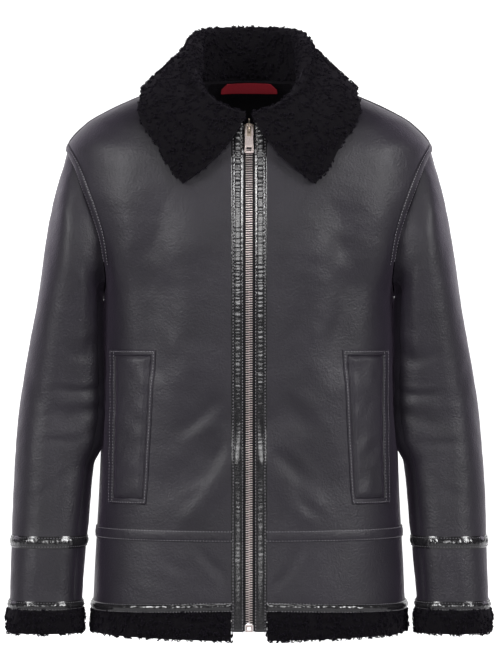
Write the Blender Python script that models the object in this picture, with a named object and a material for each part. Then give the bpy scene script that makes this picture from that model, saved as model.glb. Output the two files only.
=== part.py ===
# Shearling-trim leather jacket, worn shape with nobody inside, metres, +Z up, front towards -Y.
# The origin is at the base of the neck, on the middle line.
import math

import bmesh
import bpy
import numpy as np
from mathutils import Matrix, Vector

# Driving sizes
seamGap = 0.0003
layGap = 0.0004
skinWall = 0.0055
tapeWall = 0.0014
facingWall = 0.0018
collarWall = 0.0105
tipWall = 0.0080
furProud = 0.0030
furInside = 0.0090
cuffFurProud = 0.0048
cuffFurInside = 0.0080

zipHalf = 0.0068
facingEdge = 0.0214
facingBottom = -0.6550
facingTop = 0.0090
chainHalf = 0.0064
chainFace = 0.0010
chainBack = -0.0020
boxHeight = 0.0085
boxBottom = -0.6530

waistTape = 0.0140
armTape = 0.0105
armLift = 0.0008
shoulderTape = 0.0050

pocketFrontAngles = (50.0, 47.0)
pocketSideAngles = (68.5, 70.5)
pocketTop = -0.3120
pocketBottom = -0.5000
pocketFrontBand = 0.0050
pocketSideBand = 0.0110
pocketEnds = 0.0070

collarBend = 0.0125
crestShare = 0.62
crestDrop = 0.25
crestWallShare = 0.72
fallShares = (0.3, 0.6, 0.82)
sweepWay = (-0.77, 0.0, -0.64)
collarWallShares = (0.75, 0.9, 0.8, 1.0, 1.0, 1.0, 0.8, 0.95, 1.0, 1.0, 0.9)

sliderMiddle = -0.0455
chainOverlap = 0.0030
pullHalf = 0.0055
pullLength = 0.0360
pullWall = 0.0016
pullCorner = 0.0016
pullPivot = (0.0, -0.0052, 0.0047)

labelHalf = 0.0345
labelTopHalf = 0.0275
labelTop = 0.0030
labelBottom = 0.0180

sleeveFrontSeam = 142.0
sleeveBackSeam = -125.0

# Blocks of the zip's metal parts, in a frame with X to the side, Y into the cloth and Z up
blockColumns = ("name", "lowX", "lowY", "lowZ", "highX", "highY", "highZ")
zipBlocks = (
    ("zip_slider", -0.0060, -0.0036, -0.0090, 0.0060, 0.0044, 0.0090),
    ("chain_slot", -0.0080, -0.0016, -0.0200, 0.0080, 0.0026, 0.0045),
    ("bridge", -0.0016, -0.0085, -0.0040, 0.0016, -0.0030, 0.0079),
    ("bridge_eye", -0.0030, -0.0068, -0.0022, 0.0030, -0.0036, 0.0063),
    ("zip_box", -0.0046, -0.0020, -0.00425, 0.0046, 0.0028, 0.00425),
    ("box_window", -0.0020, -0.0100, -0.0019, 0.0020, 0.0100, 0.0019),
)

# Holes through the pull, measured down from its upper end
holeColumns = ("name", "middle", "halfWide", "halfHigh", "corner")
pullHoles = (
    ("bridgeSlot", -0.0072, 0.0026, 0.0064, 0.0010),
    ("lowerSlot", -0.0305, 0.0021, 0.0019, 0.0008),
)

# Body levels from the fur's lower edge to the neck
levelColumns = ("name", "front", "side", "back", "halfWidth", "toFront", "toBack", "power")
bodyLevels = (
    ("furEnd", -0.6640, -0.6600, -0.6610, 0.1965, 0.1330, 0.1290, 2.60),
    ("hemEdge", -0.6290, -0.6335, -0.6320, 0.1950, 0.1320, 0.1280, 2.60),
    ("hemTape", -0.6170, -0.6230, -0.6210, 0.1945, 0.1315, 0.1275, 2.60),
    ("bandMid", -0.5800, -0.5820, -0.5815, 0.1926, 0.1290, 0.1250, 2.60),
    ("waist", -0.5380, -0.5370, -0.5370, 0.1900, 0.1260, 0.1215, 2.60),
    ("pocketLow", -0.4870, -0.4870, -0.4870, 0.1875, 0.1240, 0.1180, 2.60),
    ("middle", -0.4120, -0.4120, -0.4120, 0.1842, 0.1230, 0.1150, 2.60),
    ("elbow", -0.3750, -0.3750, -0.3750, 0.1819, 0.1235, 0.1152, 2.60),
    ("ribs", -0.3120, -0.3120, -0.3120, 0.1813, 0.1245, 0.1160, 2.60),
    ("underarm", -0.2500, -0.2460, -0.2480, 0.1808, 0.1265, 0.1185, 2.65),
    ("lowChest", -0.2050, -0.1900, -0.2000, 0.1960, 0.1270, 0.1205, 2.75),
    ("chest", -0.1620, -0.1450, -0.1550, 0.2140, 0.1255, 0.1215, 2.70),
    ("yoke", -0.1250, -0.1050, -0.1100, 0.2250, 0.1220, 0.1195, 2.60),
    ("tip", -0.0960, -0.0640, -0.0700, 0.2275, 0.1170, 0.1150, 2.50),
    ("outerSeam", -0.0800, -0.0320, -0.0440, 0.2040, 0.1130, 0.1100, 2.40),
    ("midSeam", -0.0660, -0.0165, -0.0270, 0.1790, 0.1100, 0.1050, 2.35),
    ("innerSeam", -0.0500, 0.0040, -0.0020, 0.1340, 0.1060, 0.0950, 2.25),
    ("neck", -0.0305, 0.0250, 0.0300, 0.0790, 0.1000, 0.0780, 2.10),
)

# Rows over the shoulder, as shares of the way from the shoulder's tip to the neck
shoulderShares = (0.06, 0.15, 0.27, 0.43, 0.62, 0.82, 1.0)

# Armhole: how far it reaches forward and back of the side line, in degrees
armSpanFront = 22.0
armSpanBack = 21.0
armRound = 0.80
backSqueeze = 4.5
armBias = 0.16

# Soft folds on the body: angle and height at both ends, half width, depth (minus is a trough)
foldColumns = ("angleA", "heightA", "angleB", "heightB", "width", "depth")
bodyFolds = (
    (45.0, -0.150, 44.0, -0.330, 0.020, -0.0030),
    (25.0, -0.160, 27.0, -0.330, 0.024, 0.0022),
    (60.0, -0.190, 58.0, -0.290, 0.018, 0.0016),
    (14.0, -0.400, 40.0, -0.475, 0.022, -0.0024),
    (10.0, -0.450, 30.0, -0.510, 0.018, 0.0018),
    (130.0, -0.170, 138.0, -0.360, 0.024, -0.0032),
    (150.0, -0.300, 168.0, -0.440, 0.024, 0.0022),
    (176.0, -0.130, 180.0, -0.330, 0.026, -0.0022),
    (118.0, -0.400, 146.0, -0.480, 0.022, -0.0026),
)

# Sleeve stations from the shoulder to the end of the fur, for the +X arm
sleeveColumns = ("outX", "outZ", "inX", "inZ", "middleY", "toFront", "toBack", "power")
sleeveStations = (
    (0.2275, -0.0640, 0.1822, -0.2440, 0.0000, 0.0800, 0.0800, 2.3),
    (0.2400, -0.1130, 0.1830, -0.2520, 0.0000, 0.0830, 0.0820, 2.3),
    (0.2480, -0.1505, 0.1830, -0.2640, -0.0010, 0.0820, 0.0800, 2.3),
    (0.2548, -0.1880, 0.1830, -0.2780, -0.0020, 0.0790, 0.0770, 2.3),
    (0.2650, -0.2560, 0.1829, -0.3060, -0.0030, 0.0740, 0.0720, 2.3),
    (0.2760, -0.3200, 0.1829, -0.3440, -0.0040, 0.0680, 0.0660, 2.3),
    (0.2850, -0.3760, 0.1840, -0.3840, -0.0050, 0.0625, 0.0620, 2.3),
    (0.2888, -0.4140, 0.1880, -0.4160, -0.0080, 0.0600, 0.0600, 2.3),
    (0.2925, -0.4800, 0.1955, -0.4800, -0.0160, 0.0570, 0.0560, 2.3),
    (0.2942, -0.5410, 0.2014, -0.5410, -0.0240, 0.0540, 0.0530, 2.3),
    (0.2946, -0.5560, 0.2028, -0.5560, -0.0260, 0.0535, 0.0525, 2.3),
    (0.2968, -0.6205, 0.2068, -0.6205, -0.0330, 0.0510, 0.0510, 2.3),
    (0.2972, -0.6315, 0.2072, -0.6315, -0.0340, 0.0510, 0.0510, 2.3),
    (0.2975, -0.6600, 0.2075, -0.6600, -0.0360, 0.0510, 0.0510, 2.3),
)
cuffTapeHigh = (9, 10)
cuffTapeLow = (11, 12)
seamBlend = 0.070
underarmClear = 0.0012

# Collar stations from the middle of the back to the front end, for the +X half.
# Angle on the neck ring, crest out from and above the seam, then where on the body the free
# edge lies, how far the fall's middle stands off its straight line, and how far that middle
# sweeps towards the zip
collarColumns = ("angle", "crestOut", "crestUp", "edgeAngle", "edgeHeight", "belly", "sweep")
collarStations = (
    (180.0, 0.0200, 0.0700, 180.0, 0.0020, 0.004, 0.000),
    (160.0, 0.0170, 0.0690, 157.0, 0.0020, 0.004, 0.000),
    (138.0, 0.0070, 0.0660, 132.0, 0.0010, 0.003, 0.000),
    (114.0, -0.0050, 0.0570, 110.0, 0.0040, 0.002, 0.000),
    (92.0, -0.0100, 0.0460, 91.0, 0.0080, 0.002, 0.000),
    (70.0, -0.0090, 0.0360, 70.0, -0.0050, 0.003, 0.000),
    (50.0, -0.0030, 0.0270, 56.5, -0.0350, 0.004, 0.000),
    (30.0, 0.0050, 0.0180, 46.0, -0.0670, 0.005, 0.001),
    (14.0, 0.0080, 0.0110, 40.0, -0.0930, 0.005, 0.004),
    (2.6, 0.0100, 0.0070, 34.3, -0.1110, 0.005, 0.009),
)


def column(rows, columns, name):
    place = columns.index(name)
    return np.array([row[place] for row in rows], dtype=float)


def sideDistance():
    width = column(bodyLevels, levelColumns, "halfWidth")
    side = column(bodyLevels, levelColumns, "side")
    steps = np.hypot(np.diff(width), np.diff(side))
    return np.concatenate(([0.0], np.cumsum(steps)))


def smoothTable(knots, values):
    # Cubic pieces whose slopes never overshoot the rows of the table
    spans = np.diff(knots)
    rises = np.diff(values) / spans
    slopes = np.zeros(len(knots))
    slopes[0] = rises[0]
    slopes[-1] = rises[-1]
    for k in range(1, len(knots) - 1):
        if rises[k - 1] * rises[k] > 0:
            before = 2 * spans[k] + spans[k - 1]
            after = spans[k] + 2 * spans[k - 1]
            slopes[k] = (before + after) / (before / rises[k - 1] + after / rises[k])

    def read(where):
        place = np.asarray(where, dtype=float)
        k = np.clip(np.searchsorted(knots, place) - 1, 0, len(spans) - 1)
        width = spans[k]
        part = (place - knots[k]) / width
        inside = np.clip(part, 0.0, 1.0)
        a = (1 + 2 * inside) * (1 - inside) ** 2
        b = inside * (1 - inside) ** 2
        c = inside ** 2 * (3 - 2 * inside)
        d = inside ** 2 * (inside - 1)
        value = a * values[k] + b * width * slopes[k] + c * values[k + 1] + d * width * slopes[k + 1]
        over = (part - inside) * width
        end = np.where(part > 1, slopes[k + 1], slopes[k])
        return value + over * end

    return read


levelAt = sideDistance()
levelNames = [row[0] for row in bodyLevels]
bodyRead = {name: smoothTable(levelAt, column(bodyLevels, levelColumns, name))
            for name in levelColumns[1:]}


def level(name):
    return float(levelAt[levelNames.index(name)])


def foldPush(angle, up):
    push = np.zeros(np.broadcast(angle, up).shape)
    across = np.abs(np.degrees(angle))
    across = np.where(across > 180, 360 - across, across)
    arc = math.radians(1) * 0.15
    for angleA, heightA, angleB, heightB, width, depth in bodyFolds:
        startX = angleA * arc
        startY = heightA
        runX = (angleB - angleA) * arc
        runY = heightB - heightA
        length = runX ** 2 + runY ** 2
        part = ((across * arc - startX) * runX + (up - startY) * runY) / length
        part = np.clip(part, 0, 1)
        offX = across * arc - startX - part * runX
        offY = up - startY - part * runY
        push = push + depth * np.exp(-(offX ** 2 + offY ** 2) / width ** 2)
    return push


def bodyPlace(angle, t):
    # Point of the body's outer form: angle from the front's middle, t up from the fur's end
    angle, t = np.broadcast_arrays(np.asarray(angle, float), np.asarray(t, float))
    ahead = np.cos(angle)
    aside = np.sin(angle)
    power = bodyRead["power"](t)
    depth = np.where(ahead > 0, bodyRead["toFront"](t), bodyRead["toBack"](t))
    width = bodyRead["halfWidth"](t)
    reach = (np.abs(aside / width) ** power + np.abs(ahead / depth) ** power) ** (-1 / power)
    end = np.where(ahead > 0, bodyRead["front"](t), bodyRead["back"](t))
    side = bodyRead["side"](t)
    up = side + (end - side) * ahead ** 2
    reach = reach + foldPush(angle, up)
    return np.stack((reach * aside, -reach * ahead, up), axis=-1)


tubeKnots = np.arange(len(sleeveStations), dtype=float)
tubeRead = {name: smoothTable(tubeKnots, column(sleeveStations, sleeveColumns, name))
            for name in sleeveColumns}
tubeRun = smoothTable(tubeKnots, np.concatenate(([0.0], np.cumsum(np.hypot(
    np.diff(column(sleeveStations, sleeveColumns, "outX")),
    np.diff(column(sleeveStations, sleeveColumns, "outZ")))))))


def unit(vectors):
    return vectors / np.linalg.norm(vectors, axis=-1, keepdims=True)


def levelOfHeight(height, angle=math.pi / 2):
    # The level that is at this height at this angle
    low = 0.0
    high = level("neck")
    for _ in range(40):
        middle = (low + high) / 2
        if bodyPlace(angle, middle)[2] < height:
            low = middle
        else:
            high = middle
    return (low + high) / 2


def bodyNormal(angle, t):
    small = 0.0005
    turn = bodyPlace(angle + 10 * small, t) - bodyPlace(angle - 10 * small, t)
    rise = bodyPlace(angle, t + small) - bodyPlace(angle, t - small)
    return unit(np.cross(turn, rise))


def angleOfX(x, t):
    # Angle on the front where the form is this far from the middle line
    low = np.zeros_like(np.asarray(t, float))
    high = low + math.radians(60)
    for _ in range(30):
        middle = (low + high) / 2
        short = bodyPlace(middle, t)[..., 0] < x
        low = np.where(short, middle, low)
        high = np.where(short, high, middle)
    return (low + high) / 2


def armhole(turn, grow, back):
    # Curve round the armhole: turn 0 under the arm, pi at the shoulder; grow widens it
    turn = np.asarray(turn, float)
    low = level("underarm") - grow
    high = level("tip") + grow
    t = low + (high - low) * (1 - np.cos(turn)) / 2
    span = armSpanBack if back else armSpanFront
    full = math.radians(span) + grow / 0.20
    lean = 1 + armBias * np.cos(turn)
    reach = full * np.abs(np.sin(turn)) ** armRound * lean
    half = math.pi / 2
    return (half + reach if back else half - reach), t


armTurns = np.linspace(0, math.pi, 10)


def armholeCorners(back):
    around, t = armhole(armTurns, 0.0, back)
    return bodyPlace(around, t), bodyNormal(around, t)


armCorners = (armholeCorners(False), armholeCorners(True))


def material(name, colour, roughness, metallic=0.0):
    made = bpy.data.materials.new(name)
    made.use_nodes = True
    shader = made.node_tree.nodes["Principled BSDF"]
    shader.inputs["Base Color"].default_value = (*colour, 1.0)
    shader.inputs["Roughness"].default_value = roughness
    shader.inputs["Metallic"].default_value = metallic
    made.diffuse_color = (*colour, 1.0)
    return made


def addMesh(name, points, faces, look):
    mesh = bpy.data.meshes.new(name)
    mesh.from_pydata([tuple(p) for p in points], [], faces)
    work = bmesh.new()
    work.from_mesh(mesh)
    bmesh.ops.recalc_face_normals(work, faces=work.faces)
    work.to_mesh(mesh)
    work.free()
    mesh.shade_smooth()
    mesh.set_sharp_from_angle(angle=math.radians(40))
    mesh.materials.append(look)
    thing = bpy.data.objects.new(name, mesh)
    jacket.objects.link(thing)
    return thing


def wall(name, outer, inner, look, ring=False, keep=None, even=False):
    # Closed cloth wall between an outer and an inner grid; keep leaves cells open,
    # even splits the cells of both halves the same way about the middle
    rows, cols = outer.shape[:2]
    wide = cols if ring else cols - 1
    keep = np.ones((rows - 1, wide), bool) if keep is None else keep
    count = rows * cols
    faces = []

    def at(layer, row, col):
        return layer * count + row * cols + col % cols

    def kept(row, col):
        if ring:
            col = col % wide
        return 0 <= row < rows - 1 and 0 <= col < wide and keep[row, col]

    for row in range(rows - 1):
        for col in range(wide):
            if not keep[row, col]:
                continue
            for layer in (0, 1):
                a = at(layer, row, col)
                b = at(layer, row, col + 1)
                c = at(layer, row + 1, col + 1)
                d = at(layer, row + 1, col)
                if even and col < wide // 2:
                    halves = ((a, b, d), (b, c, d))
                else:
                    halves = ((a, b, c), (a, c, d))
                faces += [half if layer == 0 else half[::-1] for half in halves]
            corners = ((row, col), (row, col + 1), (row + 1, col + 1), (row + 1, col))
            beside = ((row - 1, col), (row, col + 1), (row + 1, col), (row, col - 1))
            for k in range(4):
                if not kept(*beside[k]):
                    start = corners[k]
                    end = corners[(k + 1) % 4]
                    faces.append((at(0, *end), at(0, *start), at(1, *start), at(1, *end)))
    points = np.concatenate((outer.reshape(-1, 3), inner.reshape(-1, 3)))
    used = sorted({corner for face in faces for corner in face})
    place = {corner: k for k, corner in enumerate(used)}
    faces = [tuple(place[corner] for corner in face) for face in faces]
    return addMesh(name, points[used], faces, look)


def bodyWall(name, angle, t, look, face=0.0, thick=skinWall, even=False):
    normal = bodyNormal(angle, t)
    place = bodyPlace(angle, t)
    outer = place + normal * np.asarray(face)[..., None]
    inner = outer - normal * np.asarray(thick)[..., None]
    return wall(name, outer, inner, look, even=even)


def bodyRows():
    # Level of each row of the body's grid, and the armhole turn of the rows beside it
    rows = [(level("hemEdge"), None)]
    rows += [(level("hemTape"), None), (level("bandMid"), None)]
    rows += [(level("waist") - waistTape / 2, None), (level("waist"), None)]
    rows += [(level("waist") + waistTape / 2, None)]
    lowest = levelOfHeight(pocketBottom)
    highest = levelOfHeight(pocketTop)
    rows += [(t, None) for t in np.linspace(lowest, highest, 5)]
    for turn in armTurns:
        rows.append((float(armhole(turn, 0.0, False)[1]), float(turn)))
    rise = level("neck") - level("tip")
    rows += [(level("tip") + rise * share, None) for share in shoulderShares]
    return rows


rowTable = bodyRows()
rowLevels = np.array([row[0] for row in rowTable])


def rowOf(t):
    return int(np.argmin(np.abs(rowLevels - t)))


def sideAngles(back, pull):
    # Edge of a panel beside its neighbour: side seam, armhole and shoulder seam
    edges = []
    for t, turn in rowTable:
        if turn is None or turn in (0.0, math.pi):
            edge = math.pi / 2
        else:
            edge = float(armhole(turn, 0.0, back)[0])
        width = bodyRead["halfWidth"](t)
        edges.append(edge + (pull if back else -pull) / width)
    return np.array(edges)


def frontGrid():
    heights = (levelOfHeight(pocketBottom), levelOfHeight(pocketTop))
    pocketA = np.radians(np.interp(rowLevels, heights, pocketFrontAngles))
    pocketB = np.radians(np.interp(rowLevels, heights, pocketSideAngles))
    inner = angleOfX(zipHalf, rowLevels)
    facing = angleOfX(facingEdge, rowLevels)
    side = sideAngles(False, seamGap / 2)
    wanted = ((facing + pocketA) / 2, pocketA, (pocketA + pocketB) / 2, pocketB)
    columns = [inner, facing]
    for place, share in zip(wanted, (0.27, 0.54, 0.68, 0.82)):
        columns.append(np.minimum(place, facing + (side - facing) * share))
    columns.append((columns[5] + side) / 2)
    columns.append(side)
    return np.stack(columns, axis=1)


def backGrid(cells=14):
    side = sideAngles(True, seamGap / 2)
    columns = []
    for k in range(cells + 1):
        place = math.pi / 2 + math.pi * k / cells
        low = side + math.radians(backSqueeze) * k
        high = 2 * math.pi - side - math.radians(backSqueeze) * (cells - k)
        columns.append(np.minimum(np.maximum(place, low), high))
    return np.stack(columns, axis=1)


def spread(t, angle):
    return np.broadcast_to(t[:, None], angle.shape)


def panels():
    front = frontGrid()
    back = backGrid()
    seam = rowOf(level("waist"))
    for name, grid, sign in (("left", front, 1), ("right", front, -1)):
        above = rowLevels[seam:].copy()
        above[0] += seamGap / 2
        bodyWall("front_" + name, sign * grid[seam:], spread(above, grid[seam:]), leatherLook)
        below = rowLevels[:seam + 1].copy()
        below[-1] -= seamGap / 2
        bodyWall("band_" + name, sign * grid[:seam + 1], spread(below, grid[:seam + 1]), leatherLook)
    above = rowLevels[seam:].copy()
    above[0] += seamGap / 2
    bodyWall("back", back[seam:], spread(above, back[seam:]), leatherLook, even=True)
    below = rowLevels[:seam + 1].copy()
    below[-1] -= seamGap / 2
    bodyWall("band_back", back[:seam + 1], spread(below, back[:seam + 1]), leatherLook, even=True)
    return front, back


def tubePlace(angle, s):
    # Point of the sleeve's outer form: angle 0 outward, 90 forward, s counts the stations
    angle, s = np.broadcast_arrays(np.asarray(angle, float), np.asarray(s, float))
    spots = {name: tubeRead[name](s) for name in sleeveColumns}
    midX = (spots["outX"] + spots["inX"]) / 2
    midZ = (spots["outZ"] + spots["inZ"]) / 2
    halfX = (spots["outX"] - spots["inX"]) / 2
    halfZ = (spots["outZ"] - spots["inZ"]) / 2
    power = 2 / spots["power"]
    along = np.sign(np.cos(angle)) * np.abs(np.cos(angle)) ** power
    ahead = np.sign(np.sin(angle)) * np.abs(np.sin(angle)) ** power
    depth = np.where(ahead > 0, spots["toFront"], spots["toBack"])
    return np.stack((midX + halfX * along, spots["middleY"] - depth * ahead, midZ + halfZ * along), axis=-1)


def alongCorners(turn, values):
    return np.stack([np.interp(turn, armTurns, values[:, axis]) for axis in range(3)], axis=-1)


def armholeEdge(angle):
    # Seam where the sleeve meets the body's straight-cut edge, for the sleeve's own angles
    turn = math.pi - np.abs(angle)
    ahead = (angle >= 0)[..., None]
    place = np.where(ahead, alongCorners(turn, armCorners[0][0]), alongCorners(turn, armCorners[1][0]))
    normal = unit(np.where(ahead, alongCorners(turn, armCorners[0][1]),
                           alongCorners(turn, armCorners[1][1])))
    middle = bodyPlace(math.pi / 2, (level("tip") + level("underarm")) / 2)
    inward = middle - place
    inward = unit(inward - normal * np.sum(inward * normal, axis=-1, keepdims=True))
    low = np.clip(np.abs(angle) / math.pi * 2 - 1, 0, 1)[..., None]
    return place + inward * seamGap * 1.5 + normal * underarmClear * low, normal


def sleevePlace(angle, s):
    angle, s = np.broadcast_arrays(np.asarray(angle, float), np.asarray(s, float))
    wrapped = (angle + math.pi) % (2 * math.pi) - math.pi
    table = tubePlace(wrapped, s)
    fade = np.clip(1 - tubeRun(s) / seamBlend, 0, 1) ** 2
    shift = armholeEdge(wrapped)[0] - tubePlace(wrapped, 0.0 * s)
    return table + shift * fade[..., None]


def sleeveNormal(angle, s):
    small = 0.01
    turn = sleevePlace(angle + small, s) - sleevePlace(angle - small, s)
    ahead = sleevePlace(angle, s + small) - sleevePlace(angle, np.maximum(s - small, 0))
    return unit(np.cross(turn, ahead))


def mirrored(points, sign):
    return points * np.array((sign, 1.0, 1.0))


def sleeveWall(name, angle, s, look, sign, face=0.0, thick=skinWall, ring=False):
    normal = sleeveNormal(angle, s)
    place = sleevePlace(angle, s)
    outer = place + normal * np.asarray(face)[..., None]
    inward = -normal
    if s.min() == 0.0:
        wrapped = (angle[0] + math.pi) % (2 * math.pi) - math.pi
        high = np.clip(1.5 - np.abs(wrapped) / math.pi * 2.2, 0, 1)[..., None]
        bodyOutward = armholeEdge(wrapped)[1]
        inward[0] = -unit(bodyOutward * high + normal[0] * (1 - high))
    inner = outer + inward * np.asarray(thick)[..., None]
    return wall(name, mirrored(outer, sign), mirrored(inner, sign), look, ring)


def sleeveGrid(columns, rows):
    angle = np.broadcast_to(np.asarray(columns)[None, :], (len(rows), len(columns)))
    s = np.broadcast_to(np.asarray(rows, float)[:, None], (len(rows), len(columns)))
    return angle.copy(), s.copy()


def stationGap(s):
    # Share of a station that measures half a seam's gap
    return seamGap / 2 / float(tubeRun(s + 1.0) - tubeRun(s))


def sleeves():
    frontSeam = math.radians(sleeveFrontSeam)
    backSeam = math.radians(sleeveBackSeam)
    pull = seamGap / 2 / 0.045
    upper = np.linspace(frontSeam, backSeam, 13)
    under = np.linspace(backSeam, frontSeam - 2 * math.pi, 5)
    around = np.concatenate((upper[:-1], under[:-1]))
    high, highEnd = cuffTapeHigh
    low, lowEnd = cuffTapeLow
    seamHigh = high + 0.7
    arm = [0.0, 0.22, 0.5, 0.85, 1.3, 2.0, 3.0, 4.0, 5.0, 6.0, 7.0, 8.0, float(high), seamHigh]
    panel = [seamHigh, float(highEnd), (highEnd + low) / 2, float(low), float(lowEnd)]
    for name, sign in (("left", 1), ("right", -1)):
        for part, columns in (("upper", upper), ("under", under)):
            cut = columns.copy()
            cut[0] -= pull
            cut[-1] += pull
            angle, s = sleeveGrid(cut, arm)
            s[-1] -= stationGap(high)
            sleeveWall("sleeve_" + part + "_" + name, angle, s, leatherLook, sign)
        closed = np.concatenate((around, [frontSeam - 2 * math.pi]))
        closed[0] -= pull
        closed[-1] += pull
        angle, s = sleeveGrid(closed, panel)
        s[0] += stationGap(high)
        sleeveWall("cuff_panel_" + name, angle, s, leatherLook, sign)
        for part, rows in (("high", (high, seamHigh, highEnd)), ("low", (low, lowEnd))):
            angle, s = sleeveGrid(around, rows)
            sleeveWall("cuff_tape_" + part + "_" + name, angle, s, glazedLook, sign,
                       layGap + tapeWall, tapeWall, True)
        angle, s = sleeveGrid(around, (lowEnd + 0.0, lowEnd + 0.25, lowEnd + 0.8, lowEnd + 1.0))
        s[0] += 2 * stationGap(lowEnd)
        proud = np.array((0.40, 0.95, 1.0, 0.55))[:, None] * cuffFurProud + 0 * angle
        inside = np.array((0.75, 1.0, 1.0, 0.75))[:, None] * cuffFurInside + proud
        sleeveWall("cuff_fur_" + name, angle, s, woolLook, sign, proud, inside, True)


def hemFur(front, back):
    low = level("furEnd")
    high = level("hemEdge") - seamGap
    half = np.concatenate((front[0, 1:-1], [math.pi / 2], back[0, 1:-1]))
    around = np.concatenate((half, [3 * math.pi / 2], 2 * math.pi - front[0, 1:-1][::-1]))
    rows = low + (high - low) * np.array((0.0, 0.2, 0.75, 1.0))
    t = np.broadcast_to(rows[:, None], (4, len(around))).copy()
    angle = np.broadcast_to(around[None, :], t.shape).copy()
    edge = (seamGap + 0.0002) / 0.13
    angle[:, 0] = angleOfX(facingEdge, rows) + edge
    angle[:, -1] = 2 * math.pi - angleOfX(facingEdge, rows) - edge
    proud = np.array((0.55, 1.0, 0.95, 0.40))[:, None] * furProud + 0 * angle
    inside = np.array((0.75, 1.0, 1.0, 0.75))[:, None] * furInside + proud
    bodyWall("hem_fur", angle, t, woolLook, proud, inside, True)


def bodyTapes(front, back):
    waist = rowOf(level("waist"))
    spans = (("waist_tape_", waist - 1, waist + 1), ("hem_tape_", 0, 1))
    for name, first, last in spans:
        t = rowLevels[first:last + 1]
        inner = (seamGap + 0.0001) / 0.13
        for side, sign in (("left", 1), ("right", -1)):
            angle = front[first:last + 1, 1:].copy()
            angle[:, 0] += inner
            bodyWall(name + side, sign * angle, spread(t, angle), glazedLook,
                     layGap + tapeWall, tapeWall)
        bodyWall(name + "back", back[first:last + 1], spread(t, back[first:last + 1]), glazedLook,
                 layGap + tapeWall, tapeWall, True)


def facingLevels():
    bottom = levelOfHeight(facingBottom + 0.002)
    top = level("neck") - facingTop
    inside = rowLevels[(rowLevels > bottom) & (rowLevels < top)]
    return np.concatenate(([bottom], inside, [top]))


def zipFacings():
    t = facingLevels()
    angle = np.stack((angleOfX(zipHalf, t), angleOfX(facingEdge, t)), axis=1)
    for side, sign in (("left", 1), ("right", -1)):
        bodyWall("zip_facing_" + side, sign * angle, spread(t, angle), glazedLook,
                 layGap + facingWall, facingWall)


def zipChain(bottom, top):
    t = facingLevels()
    t = t[(t > bottom) & (t < top)]
    t = np.concatenate(([bottom], t, [top]))
    edge = angleOfX(chainHalf, t)
    angle = np.stack((-edge, edge), axis=1)
    bodyWall("zip_chain", angle, spread(t, angle), tapeLook, chainFace, chainFace - chainBack)


def armholeTapes():
    front = armTurns[3:]
    back = armTurns[3:-1][::-1]
    grow = np.array((seamGap / 2, armTape))
    frontAngle = np.stack([armhole(front, g, False)[0] for g in grow], axis=1)
    backAngle = np.stack([armhole(back, g, True)[0] for g in grow], axis=1)
    levels = np.stack([armhole(np.concatenate((front, back)), g, False)[1] for g in grow], axis=1)
    angle = np.concatenate((frontAngle, backAngle))
    for side, sign in (("left", 1), ("right", -1)):
        bodyWall("armhole_tape_" + side, sign * angle, levels, glazedLook,
                 armLift + tapeWall, tapeWall)


def shoulderTapes():
    start = level("tip") + armTape + 2 * seamGap
    finish = level("neck") - 0.020
    inside = rowLevels[(rowLevels > start) & (rowLevels < finish)]
    t = np.concatenate(([start], inside, [finish]))
    half = shoulderTape / bodyRead["halfWidth"](t)
    angle = math.pi / 2 + half[:, None] * np.array((-1.0, 0.0, 1.0))[None, :]
    for side, sign in (("left", 1), ("right", -1)):
        bodyWall("shoulder_tape_" + side, sign * angle, spread(t, angle), leatherLook,
                 layGap + tapeWall, tapeWall)


def gridPoints(angle, t, rows, cols):
    # Points and normals between the panel's own grid lines, on its flat cells
    place = bodyPlace(angle, t)
    normal = bodyNormal(angle, t)

    def blend(values):
        low = np.minimum(np.floor(rows).astype(int), values.shape[0] - 2)
        left = np.minimum(np.floor(cols).astype(int), values.shape[1] - 2)
        up = (rows - low)[:, None, None]
        over = (cols - left)[None, :, None]
        corner = values[low][:, left]
        right = values[low][:, left + 1]
        above = values[low + 1][:, left]
        beyond = values[low + 1][:, left + 1]
        return (corner * (1 - over) + right * over) * (1 - up) + (above * (1 - over) + beyond * over) * up

    return blend(place), unit(blend(normal))


def pockets(front):
    t = spread(rowLevels, front)
    first = rowOf(levelOfHeight(pocketBottom))
    last = rowOf(levelOfHeight(pocketTop))
    between = [float(row) for row in range(first + 1, last)]
    inset = pocketEnds / (rowLevels[first + 1] - rowLevels[first])
    cell = float(np.linalg.norm(bodyPlace(front[first, 4], rowLevels[first])
                                - bodyPlace(front[first, 3], rowLevels[first])))
    slit = seamGap / cell
    rise = seamGap / (rowLevels[first + 1] - rowLevels[first])
    left = 3 + pocketFrontBand / cell
    right = 5 - pocketSideBand / cell
    frameCols = np.array((3.0, left, 4.0, right, 5.0))
    frameRows = np.array([first, first + inset] + between + [last - inset, last], float)
    weltCols = np.array((left + slit, 4.0, right - slit))
    weltRows = np.array([first + inset + rise] + between + [last - inset - rise])
    keep = np.ones((len(frameRows) - 1, len(frameCols) - 1), bool)
    keep[1:-1, 1:-1] = False
    for side, sign in (("left", 1), ("right", -1)):
        for name, rows, cols, kept in (("pocket_frame_", frameRows, frameCols, keep),
                                       ("pocket_welt_", weltRows, weltCols, None)):
            place, normal = gridPoints(front, t, rows, cols)
            outer = mirrored(place + normal * (layGap + tapeWall), sign)
            inner = mirrored(place + normal * layGap, sign)
            wall(name + side, outer, inner, leatherLook, False, kept)


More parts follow.
